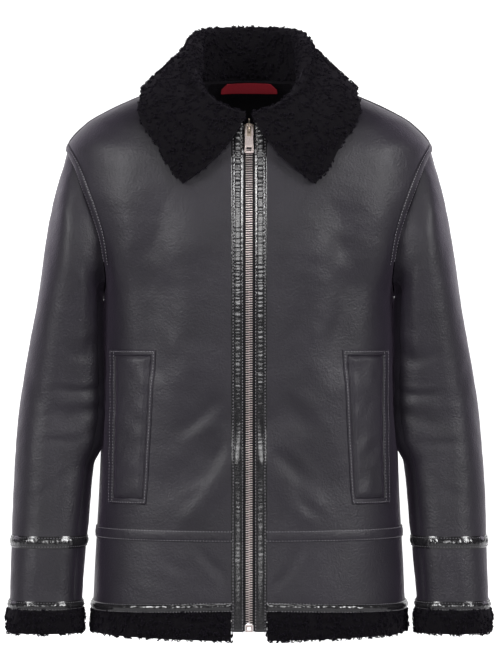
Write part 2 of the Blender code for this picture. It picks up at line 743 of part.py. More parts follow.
def collarPath(row):
    # Points across the collar from the neck seam over the crest to the free edge
    around = math.radians(row["angle"])
    seam = bodyPlace(around, level("neck"))
    out = np.array((math.sin(around), -math.cos(around), 0.0))
    up = np.array((0.0, 0.0, 1.0))
    seam = seam + up * 0.0008 + out * 0.001
    crest = seam + out * row["crestOut"] + up * row["crestUp"]
    bend = min(collarBend, 0.45 * row["crestUp"] + 0.002)
    thick = tipWall + (collarWall - tipWall) * min(1.0, row["crestUp"] / 0.04)
    edgeAngle = math.radians(row["edgeAngle"])
    down = levelOfHeight(row["edgeHeight"], edgeAngle)
    edge = bodyPlace(edgeAngle, down) + bodyNormal(edgeAngle, down) * (thick + 0.0012)
    innerCrest = crest - out * bend - up * bend
    outerCrest = crest + out * bend - up * bend
    if row["crestUp"] < 2.4 * bend:
        innerCrest = seam + (crest - seam) * 0.6 - out * bend * 0.3
    path = [seam, (seam + innerCrest) / 2, innerCrest]
    path += [crest - out * bend * crestShare - up * bend * crestDrop, crest]
    path += [crest + out * bend * crestShare - up * bend * crestDrop, outerCrest]
    lift = np.cross(edge - outerCrest, np.cross(out, up))
    lift = lift / np.linalg.norm(lift)
    if np.dot(lift, out + up) < 0:
        lift = -lift
    for share in fallShares:
        rise = math.sin(math.pi * share)
        point = outerCrest + (edge - outerCrest) * share + lift * row["belly"] * rise
        path.append(point + np.array(sweepWay) * row["sweep"] * rise)
    path.append(edge)
    walls = np.array(collarWallShares) * thick
    walls[3:6] = bend * crestWallShare
    walls[2] = min(walls[2], bend)
    walls[6] = min(walls[6], bend)
    return np.array(path), walls


def collar():
    knots = np.arange(len(collarStations), dtype=float)
    read = {name: smoothTable(knots, column(collarStations, collarColumns, name))
            for name in collarColumns}
    stops = np.linspace(0, len(collarStations) - 1, 15)
    paths = []
    walls = []
    for stop in stops:
        path, thick = collarPath({name: float(read[name](stop)) for name in collarColumns})
        paths.append(path)
        walls.append(thick)
    half = np.array(paths)
    thick = np.array(walls)
    whole = np.concatenate((mirrored(half, -1)[:0:-1], half))
    thick = np.concatenate((thick[:0:-1], thick))
    along = np.gradient(whole, axis=0)
    across = np.gradient(whole, axis=1)
    normal = unit(np.cross(across, along))
    outward = normal[len(normal) // 2, 4, 2]
    normal = normal * np.sign(outward)
    whole = whole.transpose(1, 0, 2)
    normal = normal.transpose(1, 0, 2)
    wall("collar", whole, whole - normal * thick.T[..., None], woolLook, even=True)


def neckLabel():
    t = level("neck") - np.array((labelBottom, labelTop))
    half = np.array((labelHalf, labelTopHalf)) / (bodyRead["toBack"](t) - skinWall)
    share = np.linspace(-1, 1, 5)
    angle = math.pi + half[:, None] * share[None, :]
    bodyWall("neck_label", angle, spread(t, angle), labelLook, -skinWall - 0.0008, 0.0010)


def zipFrame(t):
    # Frame on the middle of the front: X to the side, Y into the cloth, Z up along it
    place = Vector(bodyPlace(0.0, t))
    normal = Vector(bodyNormal(0.0, t))
    into = -normal
    side = Vector((1.0, 0.0, 0.0))
    up = side.cross(into)
    turn = Matrix((side, into, up)).transposed().to_4x4()
    return Matrix.Translation(place) @ turn


def block(name, group):
    size = {row[0]: row[1:] for row in zipBlocks}[name]
    low = Vector(size[:3])
    high = Vector(size[3:])
    work = bmesh.new()
    bmesh.ops.create_cube(work, size=1.0)
    bmesh.ops.scale(work, vec=high - low, verts=work.verts)
    bmesh.ops.translate(work, vec=(high + low) / 2, verts=work.verts)
    mesh = bpy.data.meshes.new(name)
    work.to_mesh(mesh)
    work.free()
    thing = bpy.data.objects.new(name, mesh)
    group.objects.link(thing)
    return thing


def combine(thing, tool, operation):
    step = thing.modifiers.new(tool.name, "BOOLEAN")
    step.operation = operation
    step.object = tool
    step.solver = "EXACT"
    tool.hide_render = True
    tool.display_type = "WIRE"


def zipSlider():
    frame = zipFrame(levelOfHeight(sliderMiddle, 0.0))
    slider = block("zip_slider", jacket)
    tools = [block(name, cutters) for name in ("chain_slot", "bridge", "bridge_eye")]
    for thing in [slider] + tools:
        thing.matrix_world = frame
    for tool, operation in zip(tools, ("DIFFERENCE", "UNION", "DIFFERENCE")):
        combine(slider, tool, operation)
    slider.data.materials.append(metalLook)
    return frame


def roundedLoop(curve, middle, halfWide, halfHigh, radius, steps=4):
    corners = ((1, 1), (-1, 1), (-1, -1), (1, -1))
    points = []
    for k, (sideways, upward) in enumerate(corners):
        centreX = sideways * (halfWide - radius)
        centreY = middle + upward * (halfHigh - radius)
        for step in range(steps + 1):
            turn = math.pi / 2 * (k + step / steps)
            points.append((centreX + radius * math.cos(turn), centreY + radius * math.sin(turn)))
    spline = curve.splines.new("POLY")
    spline.points.add(len(points) - 1)
    for point, (x, y) in zip(spline.points, points):
        point.co = (x, y, 0.0, 1.0)
    spline.use_cyclic_u = True


def zipPull(frame):
    curve = bpy.data.curves.new("zip_pull", "CURVE")
    curve.dimensions = "2D"
    curve.fill_mode = "BOTH"
    curve.extrude = pullWall / 2
    top = pullWall / 2
    roundedLoop(curve, top - pullLength / 2, pullHalf, pullLength / 2, pullCorner)
    for name, middle, halfWide, halfHigh, corner in pullHoles:
        roundedLoop(curve, middle, halfWide, halfHigh, corner)
    pull = bpy.data.objects.new("zip_pull", curve)
    curve.materials.append(metalLook)
    jacket.objects.link(pull)
    pivot = Matrix.Translation(Vector(pullPivot))
    pull.matrix_world = frame @ pivot @ Matrix.Rotation(math.pi / 2, 4, "X")


def zipBox(bottom):
    frame = zipFrame(levelOfHeight(bottom + boxHeight / 2, 0.0))
    box = block("zip_box", jacket)
    window = block("box_window", cutters)
    for thing in (box, window):
        thing.matrix_world = frame
    combine(box, window, "DIFFERENCE")
    box.data.materials.append(metalLook)


def clearScene():
    for thing in list(bpy.data.objects):
        bpy.data.objects.remove(thing)


clearScene()
jacket = bpy.data.collections.new("leather_jacket")
bpy.context.scene.collection.children.link(jacket)
cutters = bpy.data.collections.new("cutters")
bpy.context.scene.collection.children.link(cutters)
leatherLook = material("leather", (0.045, 0.044, 0.048), 0.42)
glazedLook = material("glazed_leather", (0.050, 0.049, 0.054), 0.25)
woolLook = material("shearling_wool", (0.012, 0.011, 0.013), 0.95)
metalLook = material("zip_metal", (0.52, 0.50, 0.50), 0.30, 1.0)
tapeLook = material("zip_tape", (0.015, 0.015, 0.017), 0.85)
labelLook = material("label", (0.36, 0.03, 0.04), 0.75)
frontAngles, backAngles = panels()
sleeves()
hemFur(frontAngles, backAngles)
bodyTapes(frontAngles, backAngles)
zipFacings()
zipBox(boxBottom)
zipChain(levelOfHeight(boxBottom + boxHeight + seamGap, 0.0),
         levelOfHeight(sliderMiddle + chainOverlap, 0.0))
armholeTapes()
shoulderTapes()
pockets(frontAngles)
collar()
neckLabel()
zipPull(zipSlider())
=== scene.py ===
import math

import bmesh
import bpy
import numpy as np
from mathutils import Matrix, Vector


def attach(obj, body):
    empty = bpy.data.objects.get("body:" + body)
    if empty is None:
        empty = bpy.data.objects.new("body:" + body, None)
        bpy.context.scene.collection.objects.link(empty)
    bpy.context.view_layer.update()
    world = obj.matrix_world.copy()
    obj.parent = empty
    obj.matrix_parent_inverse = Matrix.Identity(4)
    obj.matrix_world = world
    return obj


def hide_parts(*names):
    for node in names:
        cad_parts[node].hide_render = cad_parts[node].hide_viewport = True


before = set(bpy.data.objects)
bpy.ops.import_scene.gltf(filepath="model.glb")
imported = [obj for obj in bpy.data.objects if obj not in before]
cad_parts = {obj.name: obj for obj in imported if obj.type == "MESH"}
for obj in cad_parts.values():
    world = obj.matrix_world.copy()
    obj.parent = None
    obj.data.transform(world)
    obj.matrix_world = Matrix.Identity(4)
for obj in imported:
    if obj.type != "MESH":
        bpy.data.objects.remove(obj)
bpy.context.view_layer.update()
print("frame loaded:", len(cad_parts), "nodes")

# How the worn form is read: x to the wearer's left, the front towards -Y, z up from the neck's base
bodyColumns = ("name", "front", "side", "back", "halfWidth", "toFront", "toBack", "power")
bodyLevels = (
    ("furEnd", -0.6640, -0.6600, -0.6610, 0.1965, 0.1330, 0.1290, 2.60),
    ("hemEdge", -0.6290, -0.6335, -0.6320, 0.1950, 0.1320, 0.1280, 2.60),
    ("hemTape", -0.6170, -0.6230, -0.6210, 0.1945, 0.1315, 0.1275, 2.60),
    ("bandMid", -0.5800, -0.5820, -0.5815, 0.1926, 0.1290, 0.1250, 2.60),
    ("waist", -0.5380, -0.5370, -0.5370, 0.1900, 0.1260, 0.1215, 2.60),
    ("pocketLow", -0.4870, -0.4870, -0.4870, 0.1875, 0.1240, 0.1180, 2.60),
    ("middle", -0.4120, -0.4120, -0.4120, 0.1842, 0.1230, 0.1150, 2.60),
    ("elbow", -0.3750, -0.3750, -0.3750, 0.1819, 0.1235, 0.1152, 2.60),
    ("ribs", -0.3120, -0.3120, -0.3120, 0.1813, 0.1245, 0.1160, 2.60),
    ("underarm", -0.2500, -0.2460, -0.2480, 0.1808, 0.1265, 0.1185, 2.65),
    ("lowChest", -0.2050, -0.1900, -0.2000, 0.1960, 0.1270, 0.1205, 2.75),
    ("chest", -0.1620, -0.1450, -0.1550, 0.2140, 0.1255, 0.1215, 2.70),
    ("yoke", -0.1250, -0.1050, -0.1100, 0.2250, 0.1220, 0.1195, 2.60),
    ("tip", -0.0960, -0.0640, -0.0700, 0.2275, 0.1170, 0.1150, 2.50),
    ("outerSeam", -0.0800, -0.0320, -0.0440, 0.2040, 0.1130, 0.1100, 2.40),
    ("midSeam", -0.0660, -0.0165, -0.0270, 0.1790, 0.1100, 0.1050, 2.35),
    ("innerSeam", -0.0500, 0.0040, -0.0020, 0.1340, 0.1060, 0.0950, 2.25),
    ("neck", -0.0305, 0.0250, 0.0300, 0.0790, 0.1000, 0.0780, 2.10),
)

# Soft folds: angle and height at both ends, half width, depth (minus is a trough)
bodyFolds = (
    (45.0, -0.150, 44.0, -0.330, 0.020, -0.0030),
    (25.0, -0.160, 27.0, -0.330, 0.024, 0.0022),
    (60.0, -0.190, 58.0, -0.290, 0.018, 0.0016),
    (14.0, -0.400, 40.0, -0.475, 0.022, -0.0024),
    (10.0, -0.450, 30.0, -0.510, 0.018, 0.0018),
    (130.0, -0.170, 138.0, -0.360, 0.024, -0.0032),
    (150.0, -0.300, 168.0, -0.440, 0.024, 0.0022),
    (176.0, -0.130, 180.0, -0.330, 0.026, -0.0022),
    (118.0, -0.400, 146.0, -0.480, 0.022, -0.0026),
)

sleeveColumns = ("outX", "outZ", "inX", "inZ", "middleY", "toFront", "toBack", "power")
sleeveStations = (
    (0.2275, -0.0640, 0.1822, -0.2440, 0.0000, 0.0800, 0.0800, 2.3),
    (0.2400, -0.1130, 0.1830, -0.2520, 0.0000, 0.0830, 0.0820, 2.3),
    (0.2480, -0.1505, 0.1830, -0.2640, -0.0010, 0.0820, 0.0800, 2.3),
    (0.2548, -0.1880, 0.1830, -0.2780, -0.0020, 0.0790, 0.0770, 2.3),
    (0.2650, -0.2560, 0.1829, -0.3060, -0.0030, 0.0740, 0.0720, 2.3),
    (0.2760, -0.3200, 0.1829, -0.3440, -0.0040, 0.0680, 0.0660, 2.3),
    (0.2850, -0.3760, 0.1840, -0.3840, -0.0050, 0.0625, 0.0620, 2.3),
    (0.2888, -0.4140, 0.1880, -0.4160, -0.0080, 0.0600, 0.0600, 2.3),
    (0.2925, -0.4800, 0.1955, -0.4800, -0.0160, 0.0570, 0.0560, 2.3),
    (0.2942, -0.5410, 0.2014, -0.5410, -0.0240, 0.0540, 0.0530, 2.3),
    (0.2946, -0.5560, 0.2028, -0.5560, -0.0260, 0.0535, 0.0525, 2.3),
    (0.2968, -0.6205, 0.2068, -0.6205, -0.0330, 0.0510, 0.0510, 2.3),
    (0.2972, -0.6315, 0.2072, -0.6315, -0.0340, 0.0510, 0.0510, 2.3),
    (0.2975, -0.6600, 0.2075, -0.6600, -0.0360, 0.0510, 0.0510, 2.3),
)

collarColumns = ("angle", "crestOut", "crestUp", "edgeAngle", "edgeHeight", "belly", "sweep")
collarStations = (
    (180.0, 0.0200, 0.0700, 180.0, 0.0020, 0.004, 0.000),
    (160.0, 0.0170, 0.0690, 157.0, 0.0020, 0.004, 0.000),
    (138.0, 0.0070, 0.0660, 132.0, 0.0010, 0.003, 0.000),
    (114.0, -0.0050, 0.0570, 110.0, 0.0040, 0.002, 0.000),
    (92.0, -0.0100, 0.0460, 91.0, 0.0080, 0.002, 0.000),
    (70.0, -0.0090, 0.0360, 70.0, -0.0050, 0.003, 0.000),
    (50.0, -0.0030, 0.0270, 56.5, -0.0350, 0.004, 0.000),
    (30.0, 0.0050, 0.0180, 46.0, -0.0670, 0.005, 0.001),
    (14.0, 0.0080, 0.0110, 40.0, -0.0930, 0.005, 0.004),
    (2.6, 0.0100, 0.0070, 34.3, -0.1110, 0.005, 0.009),
)

fit = {"seamGap": 0.0003, "layGap": 0.0004, "zipHalf": 0.0068, "facingEdge": 0.0214, "facingBottom": -0.6550,
       "facingTop": 0.0090, "waistTape": 0.0140, "armTape": 0.0105, "shoulderTape": 0.0050,
       "sleeveFrontSeam": 142.0, "sleeveBackSeam": -125.0, "armSpanFront": 22.0, "armSpanBack": 21.0,
       "armRound": 0.80, "armBias": 0.16, "seamBlend": 0.070, "underarmClear": 0.0012,
       "cuffHigh": (9, 10), "cuffLow": (11, 12)}


def column(rows, columns, name):
    return np.array([row[columns.index(name)] for row in rows], dtype=float)


def smoothTable(knots, values):   # cubic pieces that never overshoot the rows of the table
    spans = np.diff(knots)
    rises = np.diff(values) / spans
    slopes = np.zeros(len(knots))
    slopes[0], slopes[-1] = rises[0], rises[-1]
    for k in range(1, len(knots) - 1):
        if rises[k - 1] * rises[k] > 0:
            before = 2 * spans[k] + spans[k - 1]
            after = spans[k] + 2 * spans[k - 1]
            slopes[k] = (before + after) / (before / rises[k - 1] + after / rises[k])

    def read(where):
        place = np.asarray(where, dtype=float)
        k = np.clip(np.searchsorted(knots, place) - 1, 0, len(spans) - 1)
        part = (place - knots[k]) / spans[k]
        inside = np.clip(part, 0.0, 1.0)
        a = (1 + 2 * inside) * (1 - inside) ** 2
        b = inside * (1 - inside) ** 2 * spans[k]
        c = inside ** 2 * (3 - 2 * inside)
        d = inside ** 2 * (inside - 1) * spans[k]
        value = a * values[k] + b * slopes[k] + c * values[k + 1] + d * slopes[k + 1]
        return value + (part - inside) * spans[k] * np.where(part > 1, slopes[k + 1], slopes[k])

    return read


levelAt = np.concatenate(([0.0], np.cumsum(np.hypot(
    np.diff(column(bodyLevels, bodyColumns, "halfWidth")),
    np.diff(column(bodyLevels, bodyColumns, "side"))))))
levelNames = [row[0] for row in bodyLevels]
bodyRead = {name: smoothTable(levelAt, column(bodyLevels, bodyColumns, name))
            for name in bodyColumns[1:]}
tubeKnots = np.arange(len(sleeveStations), dtype=float)
tubeRead = {name: smoothTable(tubeKnots, column(sleeveStations, sleeveColumns, name))
            for name in sleeveColumns}
tubeRun = smoothTable(tubeKnots, np.concatenate(([0.0], np.cumsum(np.hypot(
    np.diff(column(sleeveStations, sleeveColumns, "outX")),
    np.diff(column(sleeveStations, sleeveColumns, "outZ")))))))


def level(name):
    return float(levelAt[levelNames.index(name)])


def unit(vectors):
    return vectors / np.maximum(np.linalg.norm(vectors, axis=-1, keepdims=True), 1e-12)


def wander(points, size, seed, waves=14):   # smooth random field, about -1 to 1
    dice = np.random.default_rng(seed)
    total = np.zeros(points.shape[:-1])
    for _ in range(waves):
        way = unit(dice.normal(size=3))
        turns = 2 * math.pi / (size * dice.uniform(0.7, 1.6))
        total += np.sin(points @ way * turns + dice.uniform(0, 2 * math.pi))
    return total / math.sqrt(waves / 2) / 1.6


def foldPush(angle, up):   # the largest folds, as the solids have them
    push = np.zeros(np.broadcast(angle, up).shape)
    across = np.abs(np.degrees(angle))
    across = np.where(across > 180, 360 - across, across)
    arc = math.radians(1) * 0.15
    for angleA, heightA, angleB, heightB, width, depth in bodyFolds:
        runX, runY = (angleB - angleA) * arc, heightB - heightA
        part = ((across - angleA) * arc * runX + (up - heightA) * runY) / (runX ** 2 + runY ** 2)
        part = np.clip(part, 0, 1)
        offX = (across - angleA) * arc - part * runX
        offY = up - heightA - part * runY
        push = push + depth * np.exp(-(offX ** 2 + offY ** 2) / width ** 2)
    return push


def bodyPlace(angle, t):   # outer form: angle from the front's middle, t up from the fur's end
    angle, t = np.broadcast_arrays(np.asarray(angle, float), np.asarray(t, float))
    ahead, aside = np.cos(angle), np.sin(angle)
    power = bodyRead["power"](t)
    depth = np.where(ahead > 0, bodyRead["toFront"](t), bodyRead["toBack"](t))
    width = bodyRead["halfWidth"](t)
    reach = (np.abs(aside / width) ** power + np.abs(ahead / depth) ** power) ** (-1 / power)
    end = np.where(ahead > 0, bodyRead["front"](t), bodyRead["back"](t))
    side = bodyRead["side"](t)
    up = side + (end - side) * ahead ** 2
    reach = reach + foldPush(angle, up)
    return np.stack((reach * aside, -reach * ahead, up), axis=-1)


def bodyNormal(angle, t):
    turn = bodyPlace(angle + 0.005, t) - bodyPlace(angle - 0.005, t)
    rise = bodyPlace(angle, t + 0.0005) - bodyPlace(angle, t - 0.0005)
    return unit(np.cross(turn, rise))


def levelOfHeight(height, angle=math.pi / 2):   # the level at this height, for one angle or many
    height, angle = np.broadcast_arrays(np.asarray(height, float), np.asarray(angle, float))
    low, high = np.zeros(height.shape), np.full(height.shape, level("neck"))
    for _ in range(34):
        middle = (low + high) / 2
        below = bodyPlace(angle, middle)[..., 2] < height
        low, high = np.where(below, middle, low), np.where(below, high, middle)
    return (low + high) / 2


def angleOfX(x, t):   # angle on the front that lies this far from the middle line
    t = np.asarray(t, float)
    low, high = np.zeros_like(t), np.full_like(t, math.radians(60))
    for _ in range(30):
        middle = (low + high) / 2
        short = bodyPlace(middle, t)[..., 0] < x
        low, high = np.where(short, middle, low), np.where(short, high, middle)
    return (low + high) / 2


def armhole(turn, grow, back):   # turn 0 under the arm, pi at the shoulder; grow widens the curve
    turn = np.asarray(turn, float)
    low, high = level("underarm") - grow, level("tip") + grow
    t = low + (high - low) * (1 - np.cos(turn)) / 2
    full = math.radians(fit["armSpanBack"] if back else fit["armSpanFront"]) + grow / 0.20
    reach = full * np.abs(np.sin(turn)) ** fit["armRound"] * (1 + fit["armBias"] * np.cos(turn))
    return (math.pi / 2 + reach if back else math.pi / 2 - reach), t


armTurns = np.linspace(0, math.pi, 10)   # the solids' armhole has these corners


def armholeEdge(angle):   # seam where the sleeve meets the body, for the sleeve's own angles
    turn = math.pi - np.abs(angle)
    ahead = (angle >= 0)[..., None]
    sides = []
    for back in (False, True):
        around, t = armhole(armTurns, 0.0, back)
        sides.append([np.stack([np.interp(turn, armTurns, values[:, axis]) for axis in range(3)], axis=-1)
                      for values in (bodyPlace(around, t), bodyNormal(around, t))])
    place = np.where(ahead, sides[0][0], sides[1][0])
    normal = unit(np.where(ahead, sides[0][1], sides[1][1]))
    middle = bodyPlace(math.pi / 2, (level("tip") + level("underarm")) / 2)
    inward = middle - place
    inward = unit(inward - normal * np.sum(inward * normal, axis=-1, keepdims=True))
    low = np.clip(np.abs(angle) / math.pi * 2 - 1, 0, 1)[..., None]
    return place + inward * fit["seamGap"] * 1.5 + normal * fit["underarmClear"] * low


def tubePlace(angle, s):   # sleeve's outer form: angle 0 outward, 90 forward, s counts the stations
    angle, s = np.broadcast_arrays(np.asarray(angle, float), np.asarray(s, float))
    at = {name: tubeRead[name](s) for name in sleeveColumns}
    power = 2 / at["power"]
    along = np.sign(np.cos(angle)) * np.abs(np.cos(angle)) ** power
    ahead = np.sign(np.sin(angle)) * np.abs(np.sin(angle)) ** power
    depth = np.where(ahead > 0, at["toFront"], at["toBack"])
    return np.stack(((at["outX"] + at["inX"]) / 2 + (at["outX"] - at["inX"]) / 2 * along,
                     at["middleY"] - depth * ahead,
                     (at["outZ"] + at["inZ"]) / 2 + (at["outZ"] - at["inZ"]) / 2 * along), axis=-1)


def sleevePlace(angle, s):
    angle, s = np.broadcast_arrays(np.asarray(angle, float), np.asarray(s, float))
    wrapped = (angle + math.pi) % (2 * math.pi) - math.pi
    fade = np.clip(1 - tubeRun(s) / fit["seamBlend"], 0, 1) ** 2
    shift = armholeEdge(wrapped) - tubePlace(wrapped, 0.0 * s)
    return tubePlace(wrapped, s) + shift * fade[..., None]


def sleeveNormal(angle, s):
    turn = sleevePlace(angle + 0.01, s) - sleevePlace(angle - 0.01, s)
    ahead = sleevePlace(angle, s + 0.01) - sleevePlace(angle, np.maximum(s - 0.01, 0))
    return unit(np.cross(turn, ahead))


def creased(marks, across, up, points, seed):
    # Push of listed creases: soft troughs and ridges, uneven along their length
    push = np.zeros(across.shape)
    uneven = 0.75 + 0.35 * wander(points, 0.05, seed)
    stray = 0.006 * wander(points, 0.07, seed + 1)
    for startX, startZ, bendX, bendZ, endX, endZ, width, depth in marks:
        share = np.linspace(0, 1, 9)[:, None]
        a, b, c = (np.array(v) for v in ((startX, startZ), (bendX, bendZ), (endX, endZ)))
        path = a * (1 - share) ** 2 + 2 * b * share * (1 - share) + c * share ** 2
        best = np.full(across.shape, 1e9)
        offset = np.zeros(across.shape)
        where = np.zeros(across.shape)
        for k in range(8):
            run = path[k + 1] - path[k]
            length = float(run @ run)
            part = np.clip(((across - path[k, 0]) * run[0] + (up - path[k, 1]) * run[1]) / length, 0, 1)
            offX = across - path[k, 0] - part * run[0]
            offZ = up - path[k, 1] - part * run[1]
            far = offX ** 2 + offZ ** 2
            closer = far < best
            best = np.where(closer, far, best)
            offset = np.where(closer, np.sign(offX * run[1] - offZ * run[0]) * np.sqrt(far), offset)
            where = np.where(closer, (k + part) / 8, where)
        ends = np.clip(np.sin(math.pi * np.clip(where * 0.9 + 0.05, 0, 1)), 0, 1) ** 0.7
        shift = (offset + stray) / width
        lip = np.exp(-shift ** 2) - 0.42 * np.exp(-(shift - 1.5) ** 2 / 0.9)   # trough with a raised lip
        push += depth * lip * ends * uneven * np.exp(-np.maximum(np.sqrt(best) / width - 2.2, 0) ** 2)
    return push


# Meshes and materials

def finishMesh(name, points, faces, looks, lookOf):
    mesh = bpy.data.meshes.new(name)
    mesh.from_pydata(points.tolist(), [], faces.tolist())
    for look in looks:
        mesh.materials.append(look)
    mesh.polygons.foreach_set("material_index", np.asarray(lookOf, dtype=np.int32))
    mesh.shade_smooth()
    mesh.set_sharp_from_angle(angle=math.radians(55))
    piece = bpy.data.objects.new(name, mesh)
    bpy.context.scene.collection.objects.link(piece)
    return piece


def shell(name, outer, inner, looks, ring=False, keep=None, rimLook=0):
    # Closed shell between two grids, its outer face in the first look and its inner face in the last
    rows, cols = outer.shape[:2]
    wide = cols if ring else cols - 1
    row, col = np.meshgrid(np.arange(rows - 1), np.arange(wide), indexing="ij")
    if keep is not None:
        row, col = row[keep], col[keep]
    row, col = row.ravel(), col.ravel()
    after = (col + 1) % cols
    count = rows * cols
    outside = np.stack((row * cols + col, row * cols + after,
                        (row + 1) * cols + after, (row + 1) * cols + col), axis=1)
    inside = outside[:, ::-1] + count
    edges = np.concatenate([outside[:, [k, (k + 1) % 4]] for k in range(4)])
    key = edges[:, 0] * (2 * count) + edges[:, 1]
    back = edges[:, 1] * (2 * count) + edges[:, 0]
    rim = edges[~np.isin(key, back)]
    rims = np.stack((rim[:, 1], rim[:, 0], rim[:, 0] + count, rim[:, 1] + count), axis=1)
    faces = np.concatenate((outside, inside, rims))
    lookOf = np.concatenate((np.zeros(len(outside)), np.full(len(inside), len(looks) - 1), np.full(len(rims), rimLook)))
    points = np.concatenate((outer.reshape(-1, 3), inner.reshape(-1, 3)))
    a, b, c = (points[faces[:, k]] for k in range(3))
    d = points[faces[:, 3]]
    volume = np.sum(a * np.cross(b, c)) + np.sum(a * np.cross(c, d))
    if volume < 0:
        faces = faces[:, ::-1]
    used = np.unique(faces)
    place = np.zeros(len(points), dtype=np.int64)
    place[used] = np.arange(len(used))
    return finishMesh(name, points[used], place[faces], looks, lookOf)


def gridNormal(place, ring=False):
    if ring:
        across = np.roll(place, -1, axis=1) - np.roll(place, 1, axis=1)
    else:
        across = np.gradient(place, axis=1)
    return unit(np.cross(across, np.gradient(place, axis=0)))


def nodesOf(look):
    tree = look.node_tree
    return tree, tree.nodes, tree.links, tree.nodes["Principled BSDF"]


def newLook(name, colour, roughness, settings):
    look = bpy.data.materials.new(name)
    look.use_nodes = True
    look.diffuse_color = (*colour, 1.0)
    shader = look.node_tree.nodes["Principled BSDF"]
    shader.inputs["Base Color"].default_value = (*colour, 1.0)
    shader.inputs["Roughness"].default_value = roughness
    for key, value in settings.items():
        shader.inputs[key].default_value = value
    return look


def addNode(nodes, kind, settings=None, **values):
    node = nodes.new(kind)
    for key, value in (settings or {}).items():
        setattr(node, key, value)
    for key, value in values.items():
        node.inputs[key].default_value = value
    return node


def ramp(nodes, links, source, stops):   # stops: place and colour or grey
    node = nodes.new("ShaderNodeValToRGB")
    links.new(source, node.inputs["Fac"])
    while len(node.color_ramp.elements) < len(stops):
        node.color_ramp.elements.new(0.5)
    for element, (place, tone) in zip(node.color_ramp.elements, stops):
        element.position = place
        element.color = (*tone, 1.0) if isinstance(tone, tuple) else (tone, tone, tone, 1.0)
    return node.outputs["Color"]


def addBumps(look, bumps):   # bumps: (height output, strength, distance) from coarse to fine
    tree, nodes, links, shader = nodesOf(look)
    last = None
    for height, strength, distance in bumps:
        bump = nodes.new("ShaderNodeBump")
        bump.inputs["Strength"].default_value = strength
        bump.inputs["Distance"].default_value = distance
        links.new(height, bump.inputs["Height"])
        if last:
            links.new(last, bump.inputs["Normal"])
        last = bump.outputs["Normal"]
    links.new(last, shader.inputs["Normal"])


leatherFinish = {
    "plain": {"dark": (0.0092, 0.0078, 0.0118), "light": (0.0172, 0.0146, 0.0212), "rough": (0.41, 0.50),
              "sheen": 0.10, "sheenTint": (0.80, 0.62, 0.92), "grain": 0.30, "wrinkle": 0.16, "pebble": 0.75, "gloss": 0.40},
    "glazed": {"dark": (0.0060, 0.0058, 0.0066), "light": (0.0110, 0.0105, 0.0120), "rough": (0.17, 0.26),
               "sheen": 0.04, "sheenTint": (0.85, 0.78, 0.92), "grain": 0.14, "wrinkle": 0.30, "pebble": 0.10, "gloss": 0.85},
}


def leatherLook(name, style):
    look = newLook(name, style["dark"], style["rough"][0], {
        "Specular IOR Level": style["gloss"], "Sheen Weight": style["sheen"], "Sheen Roughness": 0.45,
        "Sheen Tint": (*style["sheenTint"], 1.0)})
    tree, nodes, links, shader = nodesOf(look)
    place = nodes.new("ShaderNodeTexCoord").outputs["Object"]
    cloud = addNode(nodes, "ShaderNodeTexNoise", Scale=14.0, Detail=5.0, Roughness=0.6)
    grain = addNode(nodes, "ShaderNodeTexVoronoi", {"feature": "DISTANCE_TO_EDGE"}, Scale=950.0)
    pores = addNode(nodes, "ShaderNodeTexNoise", Scale=1800.0, Detail=2.0)
    wrinkle = addNode(nodes, "ShaderNodeTexNoise", Scale=85.0, Detail=4.0, Roughness=0.55, Distortion=0.6)
    pebble = addNode(nodes, "ShaderNodeTexNoise", Scale=360.0, Detail=3.0, Roughness=0.6)
    for node in (cloud, grain, pores, wrinkle, pebble):
        links.new(place, node.inputs["Vector"])
    links.new(ramp(nodes, links, cloud.outputs["Fac"], ((0.30, style["dark"]), (0.72, style["light"]))),
              shader.inputs["Base Color"])
    low, high = style["rough"]
    links.new(ramp(nodes, links, cloud.outputs["Fac"], ((0.25, high), (0.75, low))), shader.inputs["Roughness"])
    addBumps(look, ((wrinkle.outputs["Fac"], style["wrinkle"], 0.0012),
                    (pebble.outputs["Fac"], style["pebble"], 0.0007),
                    (grain.outputs["Distance"], style["grain"], 0.0002),
                    (pores.outputs["Fac"], style["grain"] * 0.6, 0.0001)))
    return look


# deep is a painted shade colour for the hollows between the curls; tip is the wool's own near-black colour
woolFinish = {"deep": (0.0015, 0.0013, 0.0018), "tip": (0.0070, 0.0058, 0.0078), "lump": 210.0, "curl": 650.0}


def woolLook(name, style):   # dense curly pile: lumps, small curls and fine hairs
    look = newLook(name, style["tip"], 0.85, {"Specular IOR Level": 0.08, "Sheen Weight": 0.04,
                   "Sheen Roughness": 0.5, "Sheen Tint": (0.75, 0.66, 0.85, 1.0)})
    tree, nodes, links, shader = nodesOf(look)
    place = nodes.new("ShaderNodeTexCoord").outputs["Object"]
    lump = addNode(nodes, "ShaderNodeTexVoronoi", {"feature": "SMOOTH_F1"}, Scale=style["lump"])
    curl = addNode(nodes, "ShaderNodeTexNoise", Scale=style["curl"], Detail=3.0, Roughness=0.7, Distortion=1.6)
    for node in (lump, curl):
        links.new(place, node.inputs["Vector"])
    # The colour follows the same noise that raises the small curls in the bump below: partly the pile's own uneven
    # tone, partly painted shade that darkens the low parts between the curls
    links.new(ramp(nodes, links, curl.outputs["Fac"], ((0.36, style["deep"]), (0.68, style["tip"]))),
              shader.inputs["Base Color"])
    addBumps(look, ((lump.outputs["Distance"], -0.9, 0.0022), (curl.outputs["Fac"], 0.9, 0.0009)))
    return look


plainLeather = leatherLook("leather_plain", leatherFinish["plain"])
glazedLeather = leatherLook("leather_glazed", leatherFinish["glazed"])
blackWool = woolLook("wool_black", woolFinish)
print("looks made")


# Leather panels: fine shells on the worn form with their creases and a woolly inner side

panelWork = {"cell": 0.0046, "wall": 0.0048, "lining": 0.0006, "seamDip": 0.0016,
             "foldX": 0.1782, "foldAhead": 0.036, "foldTop": -0.225, "foldLow": -0.460}

